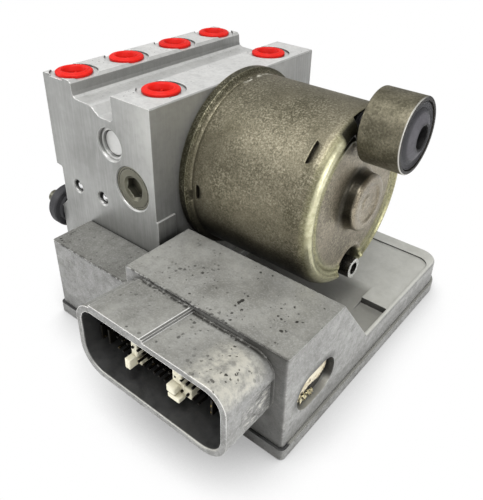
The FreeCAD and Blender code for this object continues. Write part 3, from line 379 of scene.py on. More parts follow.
chromate_steel, t, bsdf, place, w = start_material("chromate_steel", 1500.0, 0.45, 0.0005, 950.0)
px, py, pz = parts_of(t, place)
dy, dz = less(t, py, AXIS_Y), less(t, pz, AXIS_Z)
radius = length(t, dy, dz)
speck = noise(t, place, SPECK_SCALE, 3.0, 0.65)
fine = noise(t, place, FINE_SCALE, 2.0, 0.5)
cloud = noise(t, place, CLOUD_SCALE, 5.0, 0.62)
worn = span(t, noise(t, place, RUB_SCALE, 4.0, 0.6), 0.42, 0.60)
lively = span(t, noise(t, place, LIVELY_SCALE, 3.0, 0.6), 0.40, 0.60, 0.12, 0.62)
scuffed = span(t, noise(t, place, SCUFF_SCALE, 3.0, 0.6), 0.50, 0.56)
end_face = span(t, px, *END_FACE_X)
brass = mix(t, w["Mottle"], (0.34, 0.33, 0.18), (0.17, 0.16, 0.090))
pink = lay(t, mix(t, span(t, cloud, 0.40, 0.62), (0.190, 0.160, 0.118), (0.275, 0.235, 0.176)),
           ((0.130, 0.115, 0.080), 0.45, w["Mottle"]))
olive = mix(t, w["Mottle"], (0.022, 0.021, 0.009), (0.042, 0.040, 0.019))
# painted shade under the can, painted shadows round the boss and under the bush, and the shoulder's painted highlight
painted_shade_below = reckon(t, "MAXIMUM", times(t, w["Shade"], 0.95), times(t, span(t, pz, *UNDERSIDE_SHADE_Z), 0.90))
boss_shadow = times(t, band(t, radius, *BOSS_SHADOW_R), band(t, px, *BOSS_SHADOW_X),
                  span(t, less(t, times(t, dz, 0.7), dy), *BOSS_SHADOW_AWAY))
bush_shadow = times(t, span(t, length(t, dy, less(t, pz, BUSH_Z)), *SHADOW_BUSH_R), span(t, px, *SHADOW_X),
                    band(t, radius, *SHADOW_R))
crest_highlight = times(t, span(t, px, *CREST_HIGHLIGHT_X), band(t, radius, *CREST_HIGHLIGHT_R), less(t, 1.0, bush_shadow))
col = lay(
    t, mix(t, span(t, cloud, 0.36, 0.64), (0.092, 0.083, 0.052), (0.190, 0.170, 0.118)),
    # the wall: rubbed, mottled, smoked along its top near the block
    ((0.280, 0.255, 0.186), 0.50, worn),
    ((0.095, 0.086, 0.052), 0.34, w["Mottle"]),
    ((0.060, 0.055, 0.034), 0.75, span(t, pz, *SMOKED_Z), span(t, px, *SMOKED_X), w["Stain"]),
    # the pressed end and the flange
    (mix(t, span(t, radius, *SHOULDER_R), brass, pink), 1.0, end_face),
    (olive, 1.0, span(t, px, *FLANGE_X)),
    # coarse and fine sparkle, light and dark
    ((0.42, 0.39, 0.29), 1.0, span(t, speck, 0.50, 0.64), lively),
    ((0.062, 0.055, 0.035), 1.0, span(t, speck, 0.47, 0.37), lively),
    ((0.40, 0.37, 0.27), 0.28, span(t, fine, 0.52, 0.66)),
    ((0.060, 0.054, 0.034), 0.30, span(t, fine, 0.46, 0.34)),
    # scuffs on the flange's bead, worn edges, darkened corners and pits
    ((0.72, 0.70, 0.60), 1.0, band(t, px, *SCUFF_X), span(t, py, *SCUFF_Y), scuffed, span(t, pz, *SCUFF_Z)),
    ((0.62, 0.58, 0.40), 0.55, w["Edge"]),
    ((0.012, 0.010, 0.007), 0.88, w["Crevice"]),
    ((0.040, 0.034, 0.024), 0.75, w["Pits"]),
    # painted shade below, painted shadow round the boss and under the bush, and a painted highlight on the crest of
    # the shoulder
    ((0.007, 0.006, 0.004), 1.0, painted_shade_below, span(t, px, *NOT_END_X)),
    ((0.012, 0.011, 0.008), 0.88, boss_shadow),
    ((0.008, 0.007, 0.005), 0.93, bush_shadow),
    (mix(t, w["Mottle"], (0.78, 0.76, 0.55), (0.46, 0.44, 0.28)), 0.65, crest_highlight))
rough = reckon(t, "ADD", span(t, end_face, 0.0, 1.0, 0.50, 0.33), times(t, less(t, speck, 0.5), -0.35))
coat(t, bsdf, col, rough, 0.80)
set_bump(t, bsdf, reckon(t, "ADD", speck, w["Grain"]), 0.30, 0.00014, 0.0006)
give(chromate_steel, "motor_can")

# Sizes along x from the flange's face: radii and ends, the sheet, the two bolt pockets in
# the end, the ridge round them, the lanced tabs (start, width, angle, half length), the nick
ROW = Vector((-0.017375, -0.04315, 0.098))
FLANGE_R, CAN_R, CAN_END, BOSS_R, BOSS_END = 38.3, 36.1, 57.5, 11.4, 61.6
SHEET, PRESS_BACK, BEARING_SEAT_R, BEARING_SEAT_X = 1.7, 1.6, 8.1, 54.6
POCKET_R, POCKET_FLOOR, POCKET_OFF, POCKET_SOFT, POCKET_RIM = 8.0, 52.5, 31.4, 0.9, 0.4
UPPER_POCKET_STOP, STOP_SOFT, BOSS_CLEAR, BOSS_SOFT = 35.6, 0.8, 0.6, 1.1
RIDGE_HEIGHT, RIDGE_OUT, RIDGE_HALF, RIDGE_FROM = 0.5, 1.5, 1.3, 54.0
RIDGE_START_R, RIDGE_START_SOFT, RIDGE_STOP_R, RIDGE_STOP_SOFT = 15.0, 2.0, 33.4, 1.0
LANCES = [(7.0, 2.6, 180.3, 3.4), (7.0, 2.6, -0.3, 3.4), (49.3, 3.0, 133.0, 4.6), (49.3, 3.0, 47.0, 4.6)]
LANCE_DEPTH, LANCE_STEEP, LIP_HEIGHT, LIP_WIDTH, LIP_REACH, LIP_STEEP = 1.5, 5, 0.22, 0.6, 1.1, 6
NICK_START, NICK_STOP, NICK_ANGLE, NICK_HALF, NICK_DEPTH, NICK_SOFT = 3.0, 5.2, 184.5, 4.0, 0.7, 1.2
CAN_AXIS = (AXIS_Y * 1000 - ROW.y * 1000, AXIS_Z * 1000 - ROW.z * 1000)
FLANGE_STEP, END_STEP, INSIDE_STEP = 0.7, 0.42, 2.0
POCKET_TURN, LANCE_TURN, PLAIN_TURN, POCKET_NEAR, LANCE_NEAR = 0.35, 0.6, 1.5, 17, 9


def smooth(value):
    value = min(1.0, max(0.0, value))
    return value * value * (3 - 2 * value)


def turn_from(angle, centre):
    return (angle - centre + 180.0) % 360.0 - 180.0


# What the press does to a point of the plain turned shape: pockets with a soft ridge round
# them, tabs lanced inwards behind a raised lip, and the nick. wall is 0 on the outside.
def pressed(x, r, angle, wall):
    a = math.radians(angle)
    for side in (1, -1):
        d = math.hypot(r * math.cos(a), r * math.sin(a) - side * POCKET_OFF)
        floor_x = POCKET_FLOOR - wall
        depth = smooth((POCKET_R + wall + POCKET_RIM - d) / POCKET_SOFT)
        depth *= smooth((r - BOSS_R - BOSS_CLEAR + wall) / BOSS_SOFT)
        if side == 1:
            depth *= smooth((UPPER_POCKET_STOP - wall - r) / STOP_SOFT)
        ridge = max(0.0, 1 - abs(d - POCKET_R - RIDGE_OUT) / RIDGE_HALF)
        ridge *= smooth((r - RIDGE_START_R) / RIDGE_START_SOFT) * smooth((RIDGE_STOP_R - r) / RIDGE_STOP_SOFT)
        if x > floor_x:
            if not wall and x > RIDGE_FROM:
                x += RIDGE_HEIGHT * smooth(ridge)
            x = floor_x + (x - floor_x) * (1 - depth)
    if not wall:
        for start, width, centre, half in LANCES:
            u = math.radians(turn_from(angle, centre)) * CAN_R / half
            if abs(u) < 1 and start - 0.001 < x < start + width:
                reach = width * math.sqrt(1 - u * u)
                if x - start < reach:
                    r -= LANCE_DEPTH * (1 - (x - start) / reach) * smooth((1 - abs(u)) * LANCE_STEEP)
            elif abs(u) < LIP_REACH and start - LIP_WIDTH < x <= start:
                r += LIP_HEIGHT * smooth((LIP_REACH - abs(u)) * LIP_STEEP)
        if NICK_START < x < NICK_STOP:
            r -= NICK_DEPTH * smooth((NICK_HALF - abs(turn_from(angle, NICK_ANGLE))) / NICK_SOFT)
    return x, r


def stations(points, step):
    out = [points[0]]
    for (x0, r0), (x1, r1) in zip(points, points[1:]):
        n = max(1, math.ceil(math.hypot(x1 - x0, r1 - r0) / step))
        out += [(x0 + (x1 - x0) * k / n, r0 + (r1 - r0) * k / n) for k in range(1, n + 1)]
    return out


# A closed outline of x, radius and wall side, turned about an axis along x
def lathe(outline, angles, centre, change=None):
    verts, faces = [], []
    for k, angle in enumerate(angles):
        a = math.radians(angle)
        for x, r, wall in outline:
            if change:
                x, r = change(x, r, angle, wall)
            verts.append((x, centre[0] + r * math.cos(a), centre[1] + r * math.sin(a)))
        following = (k + 1) % len(angles)
        for i in range(len(outline)):
            j = (i + 1) % len(outline)
            faces.append((k * len(outline) + i, k * len(outline) + j, following * len(outline) + j,
                          following * len(outline) + i))
    return verts, faces


# A finer piece in place of a plain one: it rides on the fixed body
def piece(name, verts, faces, material, stands_for, slot, soft_deg=35.0):
    me = bpy.data.meshes.new(name)
    me.from_pydata([tuple(ROW + Vector(p) * 0.001) for p in verts], [], faces)
    bm = bmesh.new()
    bm.from_mesh(me)
    bmesh.ops.remove_doubles(bm, verts=bm.verts, dist=1e-7)
    bmesh.ops.recalc_face_normals(bm, faces=bm.faces)
    bm.to_mesh(me)
    bm.free()
    me.materials.append(material)
    me.shade_smooth()
    me.set_sharp_from_angle(angle=math.radians(soft_deg))
    o = bpy.data.objects.new(name, me)
    scene.collection.objects.link(o)
    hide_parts(stands_for)
    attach(o, "module")
    return o


angles, angle = [], 0.0
while angle < 360.0:
    angles.append(angle)
    near_pocket = any(abs(turn_from(angle, c)) < POCKET_NEAR for c in (90.0, 270.0))
    near_lance = any(abs(turn_from(angle, c)) < LANCE_NEAR for _, _, c, _ in LANCES)
    angle += POCKET_TURN if near_pocket else LANCE_TURN if near_lance else PLAIN_TURN
flange_side = stations([
    (0, FLANGE_R), (3.0, FLANGE_R), (3.5, FLANGE_R - 0.5), (3.7, FLANGE_R - 1.1), (4.0, CAN_R + 0.1),
    (4.5, CAN_R - 0.3), (5.4, CAN_R)], FLANGE_STEP)
wall_side = [(x, CAN_R) for x in (6.3, 6.97, 7.0, 7.3, 7.7, 8.2, 8.8, 9.4, 10.0,
                                  *(12.0 + 2.0 * k for k in range(19)),
                                  49.27, 49.3, 49.7, 50.3, 51.0, 51.7, 52.4)]
end_side = stations([
    (52.4, CAN_R), (54.2, CAN_R - 0.4), (55.8, CAN_R - 1.3), (56.9, CAN_R - 2.4), (CAN_END, CAN_R - 3.6),
    (CAN_END, CAN_R - 4.3), (CAN_END - 0.8, CAN_R - 5.1), (CAN_END - 1.1, CAN_R - 6.2),
    (CAN_END - 0.8, CAN_R - 7.0), (CAN_END - 0.8, CAN_R - 7.7), (CAN_END - 1.3, CAN_R - 8.6),
    (CAN_END - 1.4, BOSS_R + 1.9),
    (CAN_END - 1.1, BOSS_R + 1.0), (CAN_END - 0.2, BOSS_R + 0.3), (BOSS_END - 1.0, BOSS_R),
    (BOSS_END - 0.3, BOSS_R - 0.5), (BOSS_END, BOSS_R - 1.3), (BOSS_END, BOSS_R - 3.4),
    (BOSS_END - 0.6, BOSS_R - 4.3), (BOSS_END - 0.9, BOSS_R - 7.8), (BOSS_END - 0.6, BOSS_R - 8.6),
    (BOSS_END - 0.6, 0)], END_STEP)
inner_side = stations([
    (BOSS_END - 2.4, 0), (BOSS_END - 2.4, BEARING_SEAT_R), (BEARING_SEAT_X, BEARING_SEAT_R),
    (BEARING_SEAT_X, CAN_R - 4.0), (53.2, CAN_R - 2.4), (51.0, CAN_R - SHEET), (0, CAN_R - SHEET)], INSIDE_STEP)
outline = [(x, r, 0.0) for x, r in flange_side + wall_side + end_side[1:]]
outline += [(x, r, PRESS_BACK) for x, r in inner_side]
piece("motor_can_seen", *lathe(outline, angles, CAN_AXIS, pressed), chromate_steel, "motor_can", "chromate_steel")

# Front bush: a chromated steel sleeve, speckled and pitted, with a turned lip painted bright on one
# side as a highlight, and rubber bonded into it round a central hole. A slim neck in black rubber, painted
# shade for the dark gap, joins it to the motor's upper bolt. The rear bushes and the seals are of the same matt black
# rubber.
SLEEVE_FACE_X, SLEEVE_LIP_R, LIP_LIT_Y = (0.0576, 0.0579), (0.01325, 0.01335), (0.004, -0.002)
RUBBER_FACE_X, HUB_LIGHT_R, HOLE_SHADE_R = (0.0560, 0.0566), (0.0048, 0.0056, 0.0080, 0.0087), (0.0050, 0.0044)
RINGS_PER_M, NECK_POINTS = 5200.0, 60
pitted_steel, t, bsdf, place, w = start_material("pitted_steel", 1500.0, 0.55, 0.0004, 900.0)
px, py, pz = parts_of(t, place)
dy = less(t, py, AXIS_Y)
radius = length(t, dy, less(t, pz, BUSH_Z))
speck = noise(t, place, 1150.0, 3.0, 0.65)
cloud = noise(t, place, 160.0, 4.0, 0.6)
face = span(t, px, *SLEEVE_FACE_X)
col = lay(t, mix(t, span(t, cloud, 0.38, 0.62), (0.085, 0.077, 0.050), (0.150, 0.136, 0.094)),
          ((0.26, 0.24, 0.175), 0.4, span(t, speck, 0.52, 0.66)),
          ((0.050, 0.044, 0.030), 0.6, span(t, speck, 0.47, 0.36)),
          ((0.030, 0.026, 0.020), 0.8, w["Pits"]),
          ((0.022, 0.020, 0.018), 1.0, face),
          # painted highlight on one side of the sleeve's lip
          ((0.50, 0.49, 0.45), 1.0, face, span(t, radius, *SLEEVE_LIP_R), span(t, dy, *LIP_LIT_Y)),
          ((0.015, 0.013, 0.010), 0.8, w["Crevice"]))
coat(t, bsdf, col, span(t, speck, 0.3, 0.7, 0.58, 0.42), 0.75)
set_bump(t, bsdf, speck, 0.35, 0.00015)
give(pitted_steel, "front_bush_cup")

black_rubber, t, bsdf, place, w = start_material("black_rubber", 1900.0, 0.1)
px, py, pz = parts_of(t, place)
radius = length(t, less(t, py, AXIS_Y), less(t, pz, BUSH_Z))
front_face = span(t, px, *RUBBER_FACE_X)
rings = span(t, reckon(t, "SINE", times(t, radius, RINGS_PER_M)), 0.2, 1.0)
hub_light = span(t, w["Mottle"], 0.0, 1.0, 0.9, 0.5)
col = lay(t, mix(t, w["Stain"], (0.013, 0.013, 0.015), (0.022, 0.022, 0.025)),
          ((0.075, 0.075, 0.080), 0.55, w["Edge"]),
          ((0.035, 0.035, 0.038), 0.2, w["Mottle"]),
          ((0.040, 0.038, 0.046), 0.35, rings, front_face),
          # painted light: the raised hub painted paler
          ((0.085, 0.082, 0.092), 1.0, front_face, band(t, radius, *HUB_LIGHT_R), hub_light),
          ((0.003, 0.003, 0.003), 0.8, w["Crevice"]),
          # painted shade: the hole painted near-black
          ((0.002, 0.002, 0.002), 1.0, front_face, span(t, radius, *HOLE_SHADE_R)))
coat(t, bsdf, col, grain_rough(t, w, 0.55, 0.75))
set_bump(t, bsdf, w["Grain"], 0.3, 0.00012)
give(black_rubber, "front_bush_rubber", "rear_bush_rubber_a", "rear_bush_rubber_b", "motor_seal", "cover_seal")

# the neck is black rubber as painted shade for the dark gap between the can and the bush, in place of the steel stud
NECK_R, NECK_COLLAR_R, NECK_FOOT, NECK_TOP = 2.0, 3.4, POCKET_FLOOR - 0.6, 59.8
neck = [(NECK_FOOT, 0, 0), (NECK_FOOT, NECK_COLLAR_R, 0), (53.6, NECK_COLLAR_R, 0), (54.0, NECK_R + 1.0, 0),
        (54.0, NECK_R, 0), (NECK_TOP, NECK_R, 0), (NECK_TOP, 0, 0)]
piece("front_bush_neck", *lathe(neck, [6.0 * k for k in range(NECK_POINTS)], (CAN_AXIS[0], CAN_AXIS[1] + POCKET_OFF)),
      black_rubber, "front_bush_stud", "plug_steel")

# Control unit housing and cover: grey die-cast aluminium with a matt skin, the housing held
# under the valve block and the cover screwed to it. The tops are grimy and pitted, the edges
# bright, the deck pale, and the inside of the connector's mouth is painted near-black as shade.
SHROUD_X, SHROUD_Z, MOUTH_Y, WALL_Y = 0.020725, 0.03045, -0.08565, -0.06275
TOPS_Z, DECK_Z, POCKET_Z = (0.028, 0.033), (0.021, 0.018), (0.0150, 0.0142)
LOW_TOP_Z, LOW_TOP_X = (0.0405, 0.0375), (-0.0050, -0.0080)
LIP_Y, LIP_Z = (WALL_Y - 0.003, WALL_Y - 0.002), (0.030, 0.034)
SHROUD_TOP_Y, ROOT_Y = (WALL_Y - 0.0002, WALL_Y - 0.0008), (WALL_Y - 0.0022, WALL_Y - 0.0012)
RIB_NEAR_HIGHLIGHT, RIB_FAR_HIGHLIGHT = (0.01870, 0.01885, 0.01905, 0.01920), (0.02010, 0.02020, 0.02045, 0.02060)
RIB_GUTTER_SHADE = (0.01915, 0.01925, 0.02000, 0.02010)
ROUNDING_HIGHLIGHT_X, ROUNDING_HIGHLIGHT_Y = (0.0355, 0.0415), (WALL_Y - 0.002, WALL_Y - 0.006)
RIM_HIGHLIGHT_Y, RIM_HIGHLIGHT_Z = (MOUTH_Y + 0.0012, MOUTH_Y + 0.0006), (0.030, 0.038)
NOOK_SHADE_X, NOOK_SHADE_Y = (0.040, 0.044), (-0.072, -0.066)
SCAR_X, SCAR_Y, SCAR_Z = (0.036, 0.040), (-0.0770, -0.0725, WALL_Y - 0.001, WALL_Y + 0.001), (0.037, 0.034)
SKIRT_Z, SIDE_SHADE_Y = (0.0125, 0.0105), (-0.058, -0.054)
SCOOP_Y, SCOOP_Z, SCOOP_HALF, SCOOP_SHADE_R, SCOOP_SHADE_X = -0.04415, 0.0205, 0.0041, (0.0104, 0.0074), (0.054, 0.056)
MOUTH_SHADE_IN, MOUTH_SHADE_FAR_Y = (-0.0070, -0.0095), (WALL_Y + 0.004, WALL_Y + 0.003)
MOUTH_SHADE_NEAR_Y = (MOUTH_Y + 0.0002, MOUTH_Y + 0.0006)
ROUNDED_EDGE = 0.0017
cast_aluminium, t, bsdf, place, w = start_material("cast_aluminium", 1500.0, 1.35, 0.0005, 640.0)
px, py, pz = parts_of(t, place)
nx, ny, nz = normal_of(t)
_, by, bz = parts_of(t, add(t, "ShaderNodeBevel", {"samples": 6}, Radius=ROUNDED_EDGE).outputs[0])
upward = span(t, nz, 0.6, 0.95)
tops = times(t, upward, span(t, pz, *TOPS_Z))
streak = noise(t, stretched(t, place, 1.0, 0.35, 1.0), 150.0, 5.0, 0.68)
scar = noise(t, stretched(t, place, 1.0, 1.0, 3.0), 260.0, 5.0, 0.75)
dirt = reckon(t, "ADD", noise(t, place, 520.0, 4.0, 0.72), span(t, px, -0.010, 0.050, 0.0, 0.12))
dirt = span(t, dirt, 0.46, 0.54)
lip = times(t, span(t, by, -0.12, -0.40), span(t, bz, 0.12, 0.40), span(t, py, *LIP_Y), span(t, pz, *LIP_Z))
shroud_top = times(t, upward, span(t, py, *SHROUD_TOP_Y))
rib_highlights = reckon(t, "MAXIMUM", band(t, px, *RIB_NEAR_HIGHLIGHT), band(t, px, *RIB_FAR_HIGHLIGHT))
rounding_highlight = times(t, span(t, bz, 0.20, 0.50), span(t, px, *ROUNDING_HIGHLIGHT_X), span(t, py, *ROUNDING_HIGHLIGHT_Y),
                 span(t, w["Mottle"], 0.8, 0.2, 0.15, 0.75))
nook_shade_and_stain = times(t, span(t, ny, -0.6, -0.9), span(t, px, *NOOK_SHADE_X), span(t, py, *NOOK_SHADE_Y),
             span(t, w["Stain"], 0.0, 1.0, 0.50, 0.85))
flank = times(t, span(t, nx, 0.4, 0.8), span(t, px, *SCAR_X), band(t, py, *SCAR_Y), span(t, pz, *SCAR_Z))
vy, vz = less(t, py, SCOOP_Y), less(t, pz, SCOOP_Z)
past_straight = reckon(t, "MAXIMUM", less(t, reckon(t, "ABSOLUTE", vy, 0.0), SCOOP_HALF), 0.0)
scoop_shade = times(t, span(t, length(t, past_straight, vz), *SCOOP_SHADE_R), span(t, px, *SCOOP_SHADE_X),
              span(t, less(t, vz, times(t, vy, 0.35)), -0.001, 0.004))
cluster = span(t, reckon(t, "ADD", noise(t, place, 55.0, 4.0, 0.65), span(t, px, -0.005, 0.050, 0.0, 0.10)),
               0.46, 0.62, 0.40, 1.0)
inward = reckon(t, "ADD", times(t, less(t, px, SHROUD_X), nx), times(t, less(t, pz, SHROUD_Z), nz))
mouth_shade = times(t, span(t, inward, *MOUTH_SHADE_IN), span(t, py, *MOUTH_SHADE_FAR_Y), span(t, py, *MOUTH_SHADE_NEAR_Y))
col = lay(
    t, mix(t, w["Stain"], (0.300, 0.300, 0.292), (0.215, 0.215, 0.205)),
    # walls and tops: painted shade on the near wall, grimy tops, streaks, mottling, grain and edges
    ((0.130, 0.130, 0.128), 0.45, span(t, ny, -0.6, -0.95)),
    (mix(t, w["Stain"], (0.385, 0.382, 0.350), (0.190, 0.188, 0.168)), 0.80, tops),
    ((0.105, 0.104, 0.094), 0.60, tops, span(t, pz, *LOW_TOP_Z), span(t, px, *LOW_TOP_X)),
    ((0.40, 0.40, 0.385), 0.30, span(t, streak, 0.44, 0.66)),
    ((0.135, 0.132, 0.120), 0.45, span(t, w["Mottle"], 0.3, 1.0)),
    ((0.50, 0.50, 0.48), 0.25, span(t, w["Grain"], 0.50, 0.66)),
    ((0.58, 0.58, 0.56), 0.60, w["Edge"]),
    # the shroud: dirt along its root, two painted highlights with painted shade in the gutter,
    # painted highlights on the rounding and the top of the rim, painted shade with stains in the nook
    ((0.020, 0.018, 0.015), 0.9, lip, dirt),
    ((0.016, 0.015, 0.012), 0.92, shroud_top, span(t, py, *ROOT_Y), dirt),
    ((0.86, 0.86, 0.84), 0.85, shroud_top, rib_highlights),
    ((0.070, 0.070, 0.066), 0.70, shroud_top, band(t, px, *RIB_GUTTER_SHADE)),
    ((0.62, 0.60, 0.52), 1.0, rounding_highlight),
    ((0.90, 0.89, 0.86), 1.0, span(t, py, *RIM_HIGHLIGHT_Y), span(t, pz, *RIM_HIGHLIGHT_Z), w["Edge"]),
    ((0.060, 0.059, 0.054), 1.0, nook_shade_and_stain),
    ((0.80, 0.78, 0.72), 0.7, flank, span(t, scar, 0.54, 0.60)),
    ((0.060, 0.058, 0.050), 0.8, flank, span(t, scar, 0.46, 0.38)),
    # the skirt, painted shade on the scoop round the vent, darkened corners and pits
    ((0.080, 0.080, 0.076), 0.35, span(t, pz, *SKIRT_Z)),
    ((0.050, 0.050, 0.046), 0.85, scoop_shade),
    ((0.028, 0.026, 0.022), 0.82, w["Crevice"]),
    ((0.022, 0.020, 0.017), 1.0, w["Pits"], cluster, span(t, tops, 0.0, 1.0, 0.25, 0.95)),
    # the pale deck with its pocket, painted shade on the near wall and near-black painted shade inside the mouth
    (mix(t, w["Stain"], (0.74, 0.74, 0.685), (0.58, 0.58, 0.53)), 0.75, upward, span(t, pz, *DECK_Z)),
    ((0.200, 0.196, 0.176), 0.70, upward, span(t, pz, *POCKET_Z)),
    ((0.02, 0.02, 0.018), 0.8, w["Shade"], span(t, ny, -0.6, -0.9), span(t, py, *SIDE_SHADE_Y)),
    (mix(t, w["Mottle"], (0.016, 0.016, 0.016), (0.030, 0.030, 0.029)), 1.0, mouth_shade))
coat(t, bsdf, col, span(t, w["Mottle"], 0.0, 1.0, 0.42, 0.60))
t.links.new(span(t, mouth_shade, 0.0, 1.0, 0.55, 0.0), bsdf.inputs["Metallic"])
set_bump(t, bsdf, reckon(t, "ADD", w["Mottle"], w["Grain"]), 0.26, 0.00014, 0.0007)
give(cast_aluminium, "ecu_housing", "ecu_cover")

# Connector inside the shroud: a black moulded insert with rows of brass pins painted near-black
# as shade, brass showing only in small patches, and two cream coding keys clipped in: a bar with an upright
# post on the left, a forked block with a riser on the right. The brush holder and coil carrier are black too.
LEFT_KEY = [(23.9, 26.3, -39.4, -28.0, -74.2, -70.0), (24.2, 27.0, -36.4, -33.4, -70.1, -59.5),
            (26.2, 28.0, -35.6, -28.0, -74.0, -71.6)]
RIGHT_KEY = [(43.5, 47.2, -39.2, -35.6, -71.6, -68.6), (43.5, 48.7, -38.8, -35.6, -74.7, -72.6),
             (44.4, 48.6, -36.2, -28.0, -74.4, -68.2), (44.2, 48.2, -36.9, -33.6, -68.3, -60.5),
             (48.5, 51.6, -36.0, -28.0, -73.4, -69.0)]
BOX_SIDES = ((0, 2, 3, 1), (4, 5, 7, 6), (0, 1, 5, 4), (2, 6, 7, 3), (0, 4, 6, 2), (1, 3, 7, 5))
black_plastic, t, bsdf, place, w = start_material("black_plastic", 1700.0, 0.0)
col = mix(t, w["Stain"], (0.010, 0.010, 0.011), (0.018, 0.018, 0.018))
coat(t, bsdf, col, grain_rough(t, w, 0.45, 0.60))
set_bump(t, bsdf, w["Grain"], 0.1)
give(black_plastic, "connector_insert", "brush_holder", "coil_carrier")

shade_darkened_brass, t, bsdf, place, w = start_material("shade_darkened_brass", 2000.0, 0.1)
# painted shade: the pins are near-black, with brass in small patches
col = mix(t, span(t, w["Mottle"], 0.86, 0.98), (0.012, 0.010, 0.007), (0.30, 0.22, 0.07))
coat(t, bsdf, col, grain_rough(t, w, 0.42, 0.56), 0.85)
set_bump(t, bsdf, w["Grain"], 0.1)
give(shade_darkened_brass, "connector_pins", "commutator")

cream_plastic, t, bsdf, place, w = start_material("cream_plastic", 1600.0, 0.0)
col = lay(t, mix(t, w["Stain"], (0.84, 0.81, 0.66), (0.70, 0.66, 0.50)),
          ((0.30, 0.26, 0.17), 0.45, w["Crevice"]))
coat(t, bsdf, col, grain_rough(t, w, 0.42, 0.55))
set_bump(t, bsdf, w["Grain"], 0.08)
give(cream_plastic, "connector_keys")

for name, steps, softness in (("left_key_seen", LEFT_KEY, 0.35), ("right_key_seen", RIGHT_KEY, 0.4)):
    verts, faces = [], []
    for x0, x1, y0, y1, z0, z1 in steps:
        k = len(verts)
        verts += [(x, y, z) for z in (z0, z1) for y in (y0, y1) for x in (x0, x1)]
        faces += [tuple(k + i for i in side) for side in BOX_SIDES]
    key = piece(name, verts, faces, cream_plastic, "connector_keys", "cream_plastic")
    round_off = key.modifiers.new("soft", "BEVEL")
    round_off.width = softness * 0.001
    round_off.segments = 2

# Vent: a recess painted near-black as shade, with what is left of its membrane, a bulged cream
# sheet, pricked and browned and torn along its lower right, and crumpled flakes of gilt film at the near end.
VENT_Y, VENT_Z, VENT_HALF, VENT_R, OVAL_POINTS = -1.0, -77.5, 4.1, 7.2, 72
RECESS = ((72.9, VENT_R), (73.3, VENT_R), (73.3, 6.4), (73.1, 3.0))
FILM_X, FILM_START, FILM_LENGTH, FILM_R, FILM_THICK = 73.6, 11.0, 21.2, 7.1, 0.00025
FILM_STEPS_Y, FILM_STEPS_Z, FILM_BULGE, FILM_COVER, FILM_RAGGED = 44, 16, 0.9, 0.84, 0.35
FILM_TAPER, FILM_WAVE, FILM_WAVES, FILM_RUFFLE, FILM_RUFFLE_FROM, FILM_CREASE = 0.20, 0.07, 9.0, 0.10, 0.7, 0.05
FILM_HOLES = ((20, 5.0, 11, 4.0), (10, 3.0, 14, 3.0))
FLAKES = ((-9.4, -79.0, 1.9), (-6.6, -81.4, 2.1), (-3.6, -82.2, 1.7), (-1.0, -82.6, 1.3), (-8.0, -75.6, 1.5))
FLAKE_X, FLAKE_CRUMPLE, FLAKE_RAGGED, FLAKE_THICK, FLAKE_SPREAD, FLAKE_GRID = 74.0, 1.1, 0.25, 0.00018, 0.8, 4
vent_cream, t, bsdf, place, w = start_material("vent_membrane", 1500.0, 1.3, 0.0004, 420.0)
blot = noise(t, place, 300.0, 4.0, 0.7)
col = lay(t, mix(t, span(t, blot, 0.45, 0.62), (0.78, 0.72, 0.56), (0.50, 0.42, 0.27)),
          ((0.030, 0.025, 0.018), 1.0, w["Pits"]),
          ((0.06, 0.045, 0.03), 0.85, w["Crevice"]))
coat(t, bsdf, col, grain_rough(t, w, 0.5, 0.7))
set_bump(t, bsdf, blot, 0.4, 0.0003)
give(vent_cream, "vent_disc")

# painted shade: the near-black floor of the vent recess
recess_painted_shade, t, bsdf, place, w = start_material("vent_recess_painted_shade", 1500.0, 0.2)
col = mix(t, w["Stain"], (0.020, 0.018, 0.015), (0.045, 0.041, 0.034))
coat(t, bsdf, col, grain_rough(t, w, 0.6, 0.8))
set_bump(t, bsdf, w["Mottle"], 0.3, 0.0002)

gilt_film, t, bsdf, place, w = start_material("gilt_film", 1800.0, 0.2)
col = mix(t, w["Mottle"], (0.86, 0.80, 0.55), (0.50, 0.42, 0.22))
coat(t, bsdf, col, grain_rough(t, w, 0.22, 0.42), 0.55)
set_bump(t, bsdf, w["Grain"], 0.3, 0.0002)

verts, faces = [], []
for x, radius in RECESS:
    for k in range(OVAL_POINTS):
        a = 2 * math.pi * k / OVAL_POINTS
        verts.append((x, VENT_Y + math.copysign(VENT_HALF, math.cos(a)) + radius * math.cos(a),
                      VENT_Z + radius * math.sin(a)))
for ring in range(len(RECESS) - 1):
    for k in range(OVAL_POINTS):
        here, there = ring * OVAL_POINTS, (ring + 1) * OVAL_POINTS
        n = (k + 1) % OVAL_POINTS
        faces.append((here + k, here + n, there + n, there + k))
last = (len(RECESS) - 1) * OVAL_POINTS
faces += [tuple(range(last, last + OVAL_POINTS)), tuple(range(OVAL_POINTS - 1, -1, -1))]
piece("vent_recess_painted_shade", verts, faces, recess_painted_shade, "vent_disc", "vent_foil")

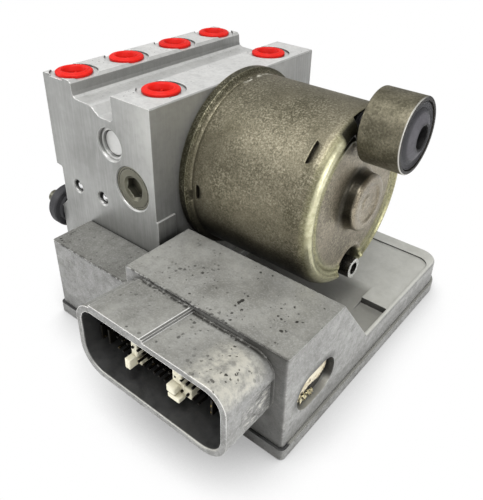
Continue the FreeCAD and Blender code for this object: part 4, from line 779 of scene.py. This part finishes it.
chance = Random(11)
verts, faces = [], []
for i in range(FILM_STEPS_Y + 1):
    s = i / FILM_STEPS_Y
    y = VENT_Y - FILM_START + FILM_LENGTH * s
    over = max(0.0, abs(y - VENT_Y) - VENT_HALF)
    half = math.sqrt(max(0.04, FILM_R ** 2 - over ** 2))
    top = VENT_Z + half
    torn = 1.0 - FILM_TAPER * s + FILM_WAVE * math.sin(FILM_WAVES * s)
    bottom = max(VENT_Z - half, VENT_Z + half - 2 * half * min(1.0, FILM_COVER * torn)
                 + chance.uniform(-FILM_RAGGED, FILM_RAGGED))
    for j in range(FILM_STEPS_Z + 1):
        q = j / FILM_STEPS_Z
        lift = FILM_BULGE * math.sin(math.pi * min(1.0, q * 1.15)) * math.sin(math.pi * min(0.94, s + 0.04))
        ruffle = chance.uniform(-FILM_RUFFLE, FILM_RUFFLE) * (q > FILM_RUFFLE_FROM)
        crease = chance.uniform(-FILM_CREASE, FILM_CREASE)
        verts.append((FILM_X + lift + ruffle + crease, y, top + (bottom - top) * q))
for i in range(FILM_STEPS_Y):
    for j in range(FILM_STEPS_Z):
        if all((i - ci) ** 2 / a + (j - cj) ** 2 / b > 1.0 for ci, a, cj, b in FILM_HOLES):
            k = i * (FILM_STEPS_Z + 1) + j
            faces.append((k, k + 1, k + FILM_STEPS_Z + 2, k + FILM_STEPS_Z + 1))
film = piece("vent_membrane", verts, faces, vent_cream, "vent_disc", "vent_foil", 60.0)
film.modifiers.new("thick", "SOLIDIFY").thickness = FILM_THICK

verts, faces = [], []
for cy, cz, size in FLAKES:
    k = len(verts)
    for i in range(FLAKE_GRID + 1):
        for j in range(FLAKE_GRID + 1):
            verts.append((FLAKE_X + chance.uniform(0.0, FLAKE_CRUMPLE),
                          cy + size * (i / 2 - 1) * FLAKE_SPREAD + chance.uniform(-FLAKE_RAGGED, FLAKE_RAGGED),
                          cz + size * (j / 2 - 1) * FLAKE_SPREAD + chance.uniform(-FLAKE_RAGGED, FLAKE_RAGGED)))
    for i in range(FLAKE_GRID):
        for j in range(FLAKE_GRID):
            if (i + j) % 4 != 3:
                m = k + i * (FLAKE_GRID + 1) + j
                faces.append((m, m + 1, m + FLAKE_GRID + 2, m + FLAKE_GRID + 1))
flakes = piece("vent_flakes", verts, faces, gilt_film, "vent_disc", "vent_foil", 20.0)
flakes.modifiers.new("thick", "SOLIDIFY").thickness = FLAKE_THICK

# Magnets, brushes, valve coils and armature core: sintered ferrite, carbon and wound or
# stacked steel inside the motor and the control unit, all dull and dark.
dark_sintered, t, bsdf, place, w = start_material("dark_sintered", 1500.0, 0.3)
col = mix(t, w["Stain"], (0.05, 0.05, 0.052), (0.09, 0.09, 0.09))
coat(t, bsdf, col, grain_rough(t, w, 0.5, 0.65), 0.4)
set_bump(t, bsdf, w["Grain"], 0.2)
give(dark_sintered, "field_magnets", "brushes", "valve_coils", "armature_core")

# Circuit board of the control unit: glass fibre under green lacquer, with copper tracks
# that show through it as lighter lines.
board_lacquer, t, bsdf, place, w = start_material("board_lacquer", 1500.0, 0.1)
tracks = noise(t, place, 700.0, 1.0, 0.3)
col = mix(t, span(t, tracks, 0.48, 0.52), (0.012, 0.10, 0.035), (0.02, 0.16, 0.06))
coat(t, bsdf, col, grain_rough(t, w, 0.25, 0.35))
set_bump(t, bsdf, tracks, 0.2)
give(board_lacquer, "circuit_board")
